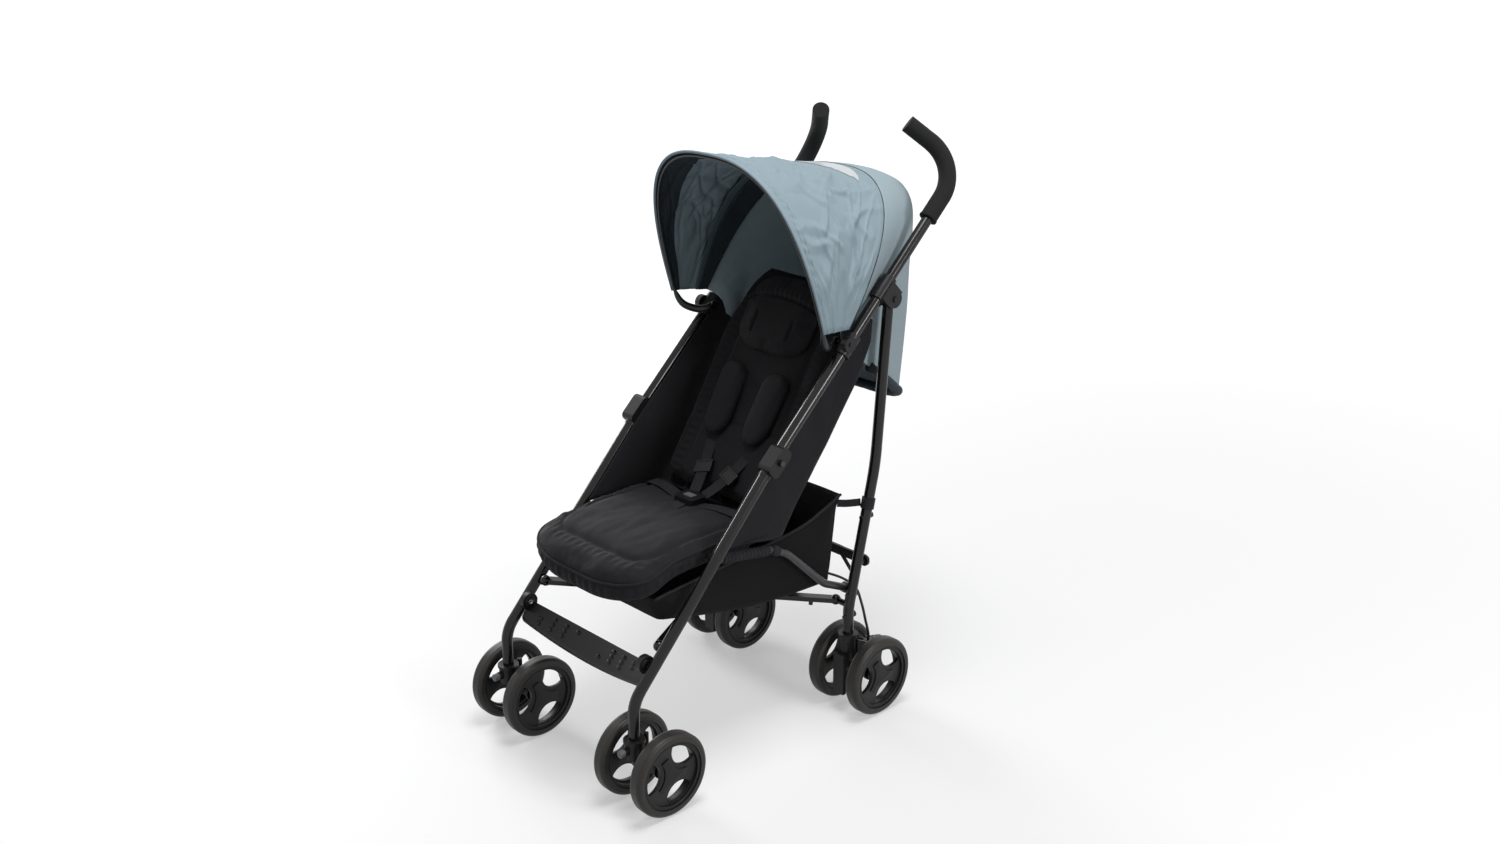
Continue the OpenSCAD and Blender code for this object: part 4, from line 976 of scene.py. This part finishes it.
FOOT_Y, FOOT_Z, FOOT_TILT = -343.0, 211.0, radians(50)
FOOT_HALF, FOOT_LONG, FOOT_LIP = 169, 50, 9
FOOT_KEEP = 0.44
EAR_X, EAR_UP, EAR_OUT = 164.2, 46, 8
EAR_STEPS = ((3, 0), (0.6, -1.2), (3.5, 0), (0.6, 1.6), (4.5, 0), (0.4, -1))
# how far out each column of grip dots lies, and its rows
DOTS = ((36, (1,)), (67, (-1, 0, 1)), (98, (-1, 0, 1)), (129, (-1, 0)))


def foot_place(co):
    """Footrest coordinates (across, up the board, out of it) to the part's frame."""
    c, s = cos(FOOT_TILT), sin(FOOT_TILT)
    return np.stack([co[:, 0], FOOT_Y + co[:, 1] * c - co[:, 2] * s,
                     FOOT_Z + co[:, 1] * s + co[:, 2] * c], 1)


def foot_drop(x):
    return -16.0 * (1 - (x / FOOT_HALF) ** 2)


def footrest_board():
    """The board, bowed down in the middle, with a lip turned down along its front edge."""
    board = started(bpy.ops.mesh.primitive_grid_add, (0.338, 0.050, 1), size=1,
                    x_subdivisions=72, y_subdivisions=14)
    co = points_of(board) / MM
    up = co[:, 1] / FOOT_LONG + 0.5
    edge = 9 - 10 * (1 - (co[:, 0] / FOOT_HALF) ** 2)
    co[:, 1] = edge + (FOOT_LONG - edge) * up
    lip = np.clip((FOOT_LIP - (co[:, 1] - edge)) / FOOT_LIP, 0, 1)
    co[:, 2] = foot_drop(co[:, 0]) + np.sin(pi * up) - FOOT_LIP * lip ** 2
    set_points(board, co * MM)
    wall = board.modifiers.new("wall", "SOLIDIFY")
    wall.thickness, wall.offset = 0.0045, -1
    softened(board, 1.4, 3, 30)
    board.data.shade_smooth()
    return board


def foot_dots():
    """Oval grip dots in two groups, each group the other turned half round."""
    dots = []
    for turn in (-1, 1):
        for x, ups in DOTS:
            for up in ups:
                place = Vector((turn * x, 29.0 - turn * 9.5 * up, 0))
                place.z = foot_drop(place.x) + 1.0
                dot = started(bpy.ops.mesh.primitive_uv_sphere_add, (0.0054, 0.0042, 0.0026),
                              segments=14, ring_count=8, radius=1, location=place * MM)
                bpy.ops.object.mode_set(mode="EDIT")
                bpy.ops.mesh.select_all(action="SELECT")
                bpy.ops.mesh.bisect(plane_co=(place - Vector((0, 0, 1.2))) * MM,
                                    plane_no=(0, 0, 1), use_fill=True, clear_inner=True)
                bpy.ops.object.mode_set(mode="OBJECT")
                dots.append(dot)
    made = merged(*dots)
    made.data.shade_smooth()
    return made


def foot_ears():
    """Round ears that clip on the legs, each with a ringed screw head."""
    made = []
    for s in (1, -1):
        ear = started(bpy.ops.mesh.primitive_cylinder_add, vertices=48, radius=0.016,
                      depth=0.011, location=(s * EAR_X * MM, EAR_UP * MM, EAR_OUT * MM),
                      rotation=ALONG_X)
        inset_faces(ear, lambda n: abs(n.x) > 0.9, EAR_STEPS)
        made.append(softened(ear, 0.6, 2, 30))
    return made


footrest = merged(footrest_board(), foot_dots(), *foot_ears())
set_points(footrest, foot_place(points_of(footrest) / MM) * MM)
settle(footrest, "foot_board", "seat", "black_plastic", keep=FOOT_KEEP, stands_for="footrest")

CABLE = [[195, 190, 129.6], [195, 190, 146], [191, 186, 172], [184, 182, 205], [162, 188, 228],
         [120, 194, 232], [60, 196, 226], [0, 197, 222]]
CABLE_KEEP, TRACK = 0.495, 181.0
cable_line = smooth_route(CABLE + [[-x, y, z] for x, y, z in CABLE[-2::-1]], 160)
settle(tube("cable", cable_line, 2.5, 10), "brake_cable_sheath", "rear_r", "cable_sheath",
       keep=CABLE_KEEP, stands_for="brake_cable")

# ---- wheels and small details


def round_bar(radius, depth, x=0.0, y=0.0, z=0.0, sides=96):
    """A short bar along X, in millimetres."""
    return started(bpy.ops.mesh.primitive_cylinder_add, vertices=sides, radius=radius * MM,
                   depth=depth * MM, location=(x * MM, y * MM, z * MM), rotation=ALONG_X)


def cut(obj, other, how="DIFFERENCE"):
    m = obj.modifiers.new("cut", "BOOLEAN")
    m.operation, m.object, m.solver = how, other, "EXACT"
    apply_all(obj)
    bpy.data.objects.remove(other)


RIM_RADIUS, RIM_DEEP = 61.3, 24
GAP_RADIUS, GAP_AT, GAP_REACH = 28.5, 50, 52.5
WHEEL_OUT, AXLE_Z = 48, 75
AXLE_Y = {"front": -327, "rear": 181}


def wheel_face():
    """One rim about its axle, its face towards +X: a deep ring, three broad arms and a cap."""
    turns = [radians(-8 + 120 * k) + pi / 3 for k in range(3)]
    gaps = [(0, GAP_AT * cos(a), GAP_AT * sin(a), 64) for a in turns]
    disc = round_bar(RIM_RADIUS, RIM_DEEP)
    cut(disc, round_bar(54.5, 12, 13.0))
    cut(disc, round_bar(55.5, 14, -7.0))
    for gap in gaps:
        hole = round_bar(GAP_RADIUS, 60, *gap)
        cut(hole, round_bar(GAP_REACH, 70, sides=64), "INTERSECT")
        cut(disc, softened(hole, 5, 4))
    hub = softened(round_bar(13, 20, -4.5, sides=48), 1.2)
    cap = round_bar(33, 3.0, 7.6)
    for gap in gaps:
        cut(cap, round_bar(36, 20, *gap))
    softened(cap, 0.7)
    bead = started(bpy.ops.mesh.primitive_torus_add, location=(0.0119, 0, 0),
                   rotation=ALONG_X, major_radius=0.0578, minor_radius=0.0006,
                   major_segments=96, minor_segments=6)
    return smooth_by_angle(merged(softened(disc, 0.9), hub, cap, bead))


face = wheel_face()
face_points = points_of(face)
for end, axle_y in AXLE_Y.items():
    for key, s in SIDES.items():
        pair = []
        for out in (1, -1):
            copy = face.copy()
            copy.data = face.data.copy()
            scene.collection.objects.link(copy)
            turn = out * s
            set_points(copy, face_points * [turn, turn, 1] +
                       np.array([s * (TRACK + WHEEL_OUT * out), axle_y, AXLE_Z]) * MM)
            pair.append(copy)
        settle(merged(*pair), f"{end}_wheel_faces_{key}", f"{end}_wheels_{key}", "rim_plastic",
               keep=None, stands_for=f"{end}_rims_{key}")
bpy.data.objects.remove(face)


def screw_head(x, y, z, radius, sides=32):
    """A head that faces outward along X, with a ringed rim and a sunk middle."""
    head = round_bar(radius, 2.4, x, y, z, sides)
    inset_faces(head, lambda n: n.x * x > 0 and abs(n.x) > 0.9,
                ((radius * 0.35, 0), (0.2, -0.9)), each=False)
    return smooth_by_angle(softened(head, 0.4, 2))


# two round screws by the upper bracket and a hexagon bolt at the mid joint
FRAME_SCREWS = ((198.2, 236, 780, 4.6, 32), (194.8, 220.3, 799.2, 4.6, 32),
                (203.6, -43, 545, 5.0, 6))
FOOT_SCREW_X = 157.6

for key, s in SIDES.items():
    heads = [screw_head(s * x, *rest) for x, *rest in FRAME_SCREWS]
    settle(merged(*heads), f"frame_screws_{key}", f"side_{key}", "bar_metal", keep=None)
# the footrest's screws face inward
ears = [screw_head(s * FOOT_SCREW_X, 0, 0, 4.6) for s in (1, -1)]
for ear, s in zip(ears, (1, -1)):
    flip = points_of(ear) / MM + [0, EAR_UP, EAR_OUT]
    flip[:, 0] = 2 * s * FOOT_SCREW_X - flip[:, 0]
    set_points(ear, foot_place(flip) * MM)
    outward(ear)
settle(merged(*ears), "foot_screws", "seat", "steel", keep=FOOT_KEEP)

SLEEVE, SLEEVE_X = [[-146, 387.2], [-36, 370.9]], 162
SLEEVE_BAND = [[-30, 370], [-14, 362.4]]


def on_bar(s, line, count):
    return [[s * SLEEVE_X, y, z] for y, z in even_route(line, count)]


for key, s in SIDES.items():
    # gathered cloth round the seat bar, with the loop that ties the side panel to it
    radii = [9.2 + 0.9 * sin(k * 0.9) + 0.7 * rough_at(k * 0.31, s, 2.2) for k in range(90)]
    wrap = tube("sleeve", on_bar(s, SLEEVE, 90), radii, 16)
    band = tube("band", on_bar(s, SLEEVE_BAND, 6), 9.4, 20)
    settle(merged(wrap, band), f"bar_sleeve_{key}", f"seatbar_{key}", "webbing", keep=None)

GRIP_EDGE, FRAME_EDGE = (0.0035, 4), (0.0007, 2)
for name in cad:
    if cad[name].hide_render:
        continue
    soft = cad[name].modifiers.new("soft_edge", "BEVEL")
    soft.width, soft.segments = GRIP_EDGE if name.startswith("grip") else FRAME_EDGE
    soft.limit_method, soft.angle_limit = "ANGLE", radians(40)
    soft.harden_normals = False

# ---- stage

WHITE = (1, 1, 1, 1)
# name, place, aim, watts and size of each lamp
LAMPS = (("top", (0.5, -0.2, 3.6), (0, -0.05, 0.4), 70, 1.3),
         ("side", (3.2, 0.4, 1.6), (0, 0, 0.6), 40, 0.8),
         ("rim", (-3.2, 0.35, 1.4), (0, 0, 0.6), 70, 1.4))
EYE, EYE_AIM, LENS, SENSOR = (2.079, -1.855, 1.537), (-0.016, 0.085, 0.5333), 39.6, 36


def either(tree, a, b):
    most = put(tree, "Math", operation="MAXIMUM")
    tree.links.new(a, most.inputs[0])
    tree.links.new(b, most.inputs[1])
    return most.outputs[0]


def seen_straight(tree):
    """One for rays from the camera and off shiny faces, as a socket, and the rays' node."""
    rays = put(tree, "LightPath")
    return either(tree, rays.outputs["Is Camera Ray"], rays.outputs["Is Glossy Ray"]), rays


def lay_floor():
    """A pale floor that takes the shadow and fades to white away from the part."""
    floor = started(bpy.ops.mesh.primitive_plane_add, size=120)
    floor.name = "floor"
    paper = bpy.data.materials.new("pale_floor")
    paper.use_nodes = True
    tree = paper.node_tree
    link = tree.links.new
    shader = tree.nodes["Principled BSDF"]
    for socket, value in (("Base Color", (0.5, 0.5, 0.5, 1)), ("Roughness", 0.5),
                          ("Specular IOR Level", 0.1), ("Emission Color", WHITE)):
        shader.inputs[socket].default_value = value
    spot = put(tree, "TexCoord")
    away = put(tree, "VectorMath", operation="LENGTH")
    level = put(tree, "MapRange", {"From Min": 0.3, "From Max": 4.6, "To Min": 0.4,
                                   "To Max": 0.84}, interpolation_type="SMOOTHSTEP")
    lift = put(tree, "Math", operation="MULTIPLY")
    link(spot.outputs["Object"], away.inputs[0])
    link(away.outputs["Value"], level.inputs["Value"])
    link(seen_straight(tree)[0], lift.inputs[0])
    link(level.outputs["Result"], lift.inputs[1])
    link(lift.outputs[0], shader.inputs["Emission Strength"])
    floor.data.materials.append(paper)


def light_world():
    """A dim even light, seen as white by the camera, by reflections and through clear pieces."""
    world = bpy.data.worlds.new("studio")
    scene.world = world
    world.use_nodes = True
    tree = world.node_tree
    tree.nodes.clear()
    link = tree.links.new
    out = put(tree, "OutputWorld")
    lit = put(tree, "Background", {"Color": (0.97, 0.985, 1.0, 1), "Strength": 0.24})
    seen = put(tree, "Background", {"Color": WHITE, "Strength": 1.0})
    straight, rays = seen_straight(tree)
    mix = put(tree, "MixShader")
    link(either(tree, straight, rays.outputs["Is Transmission Ray"]), mix.inputs["Fac"])
    link(lit.outputs[0], mix.inputs[1])
    link(seen.outputs[0], mix.inputs[2])
    link(mix.outputs[0], out.inputs["Surface"])


def stand(name, data, place, aim):
    """A lamp or camera at a place, turned to what it aims at."""
    obj = bpy.data.objects.new(name, data)
    obj.location = place
    obj.rotation_euler = (Vector(aim) - Vector(place)).to_track_quat("-Z", "Y").to_euler()
    scene.collection.objects.link(obj)
    return obj


lay_floor()
light_world()
for name, place, aim, power, size in LAMPS:
    data = bpy.data.lights.new(name, "AREA")
    data.energy, data.size, data.shape = power, size, "SQUARE"
    stand(name, data, place, aim)
lens = bpy.data.cameras.new("camera")
lens.lens, lens.sensor_width = LENS, SENSOR
scene.camera = stand("camera", lens, EYE, EYE_AIM)
scene.view_settings.view_transform = "Standard"
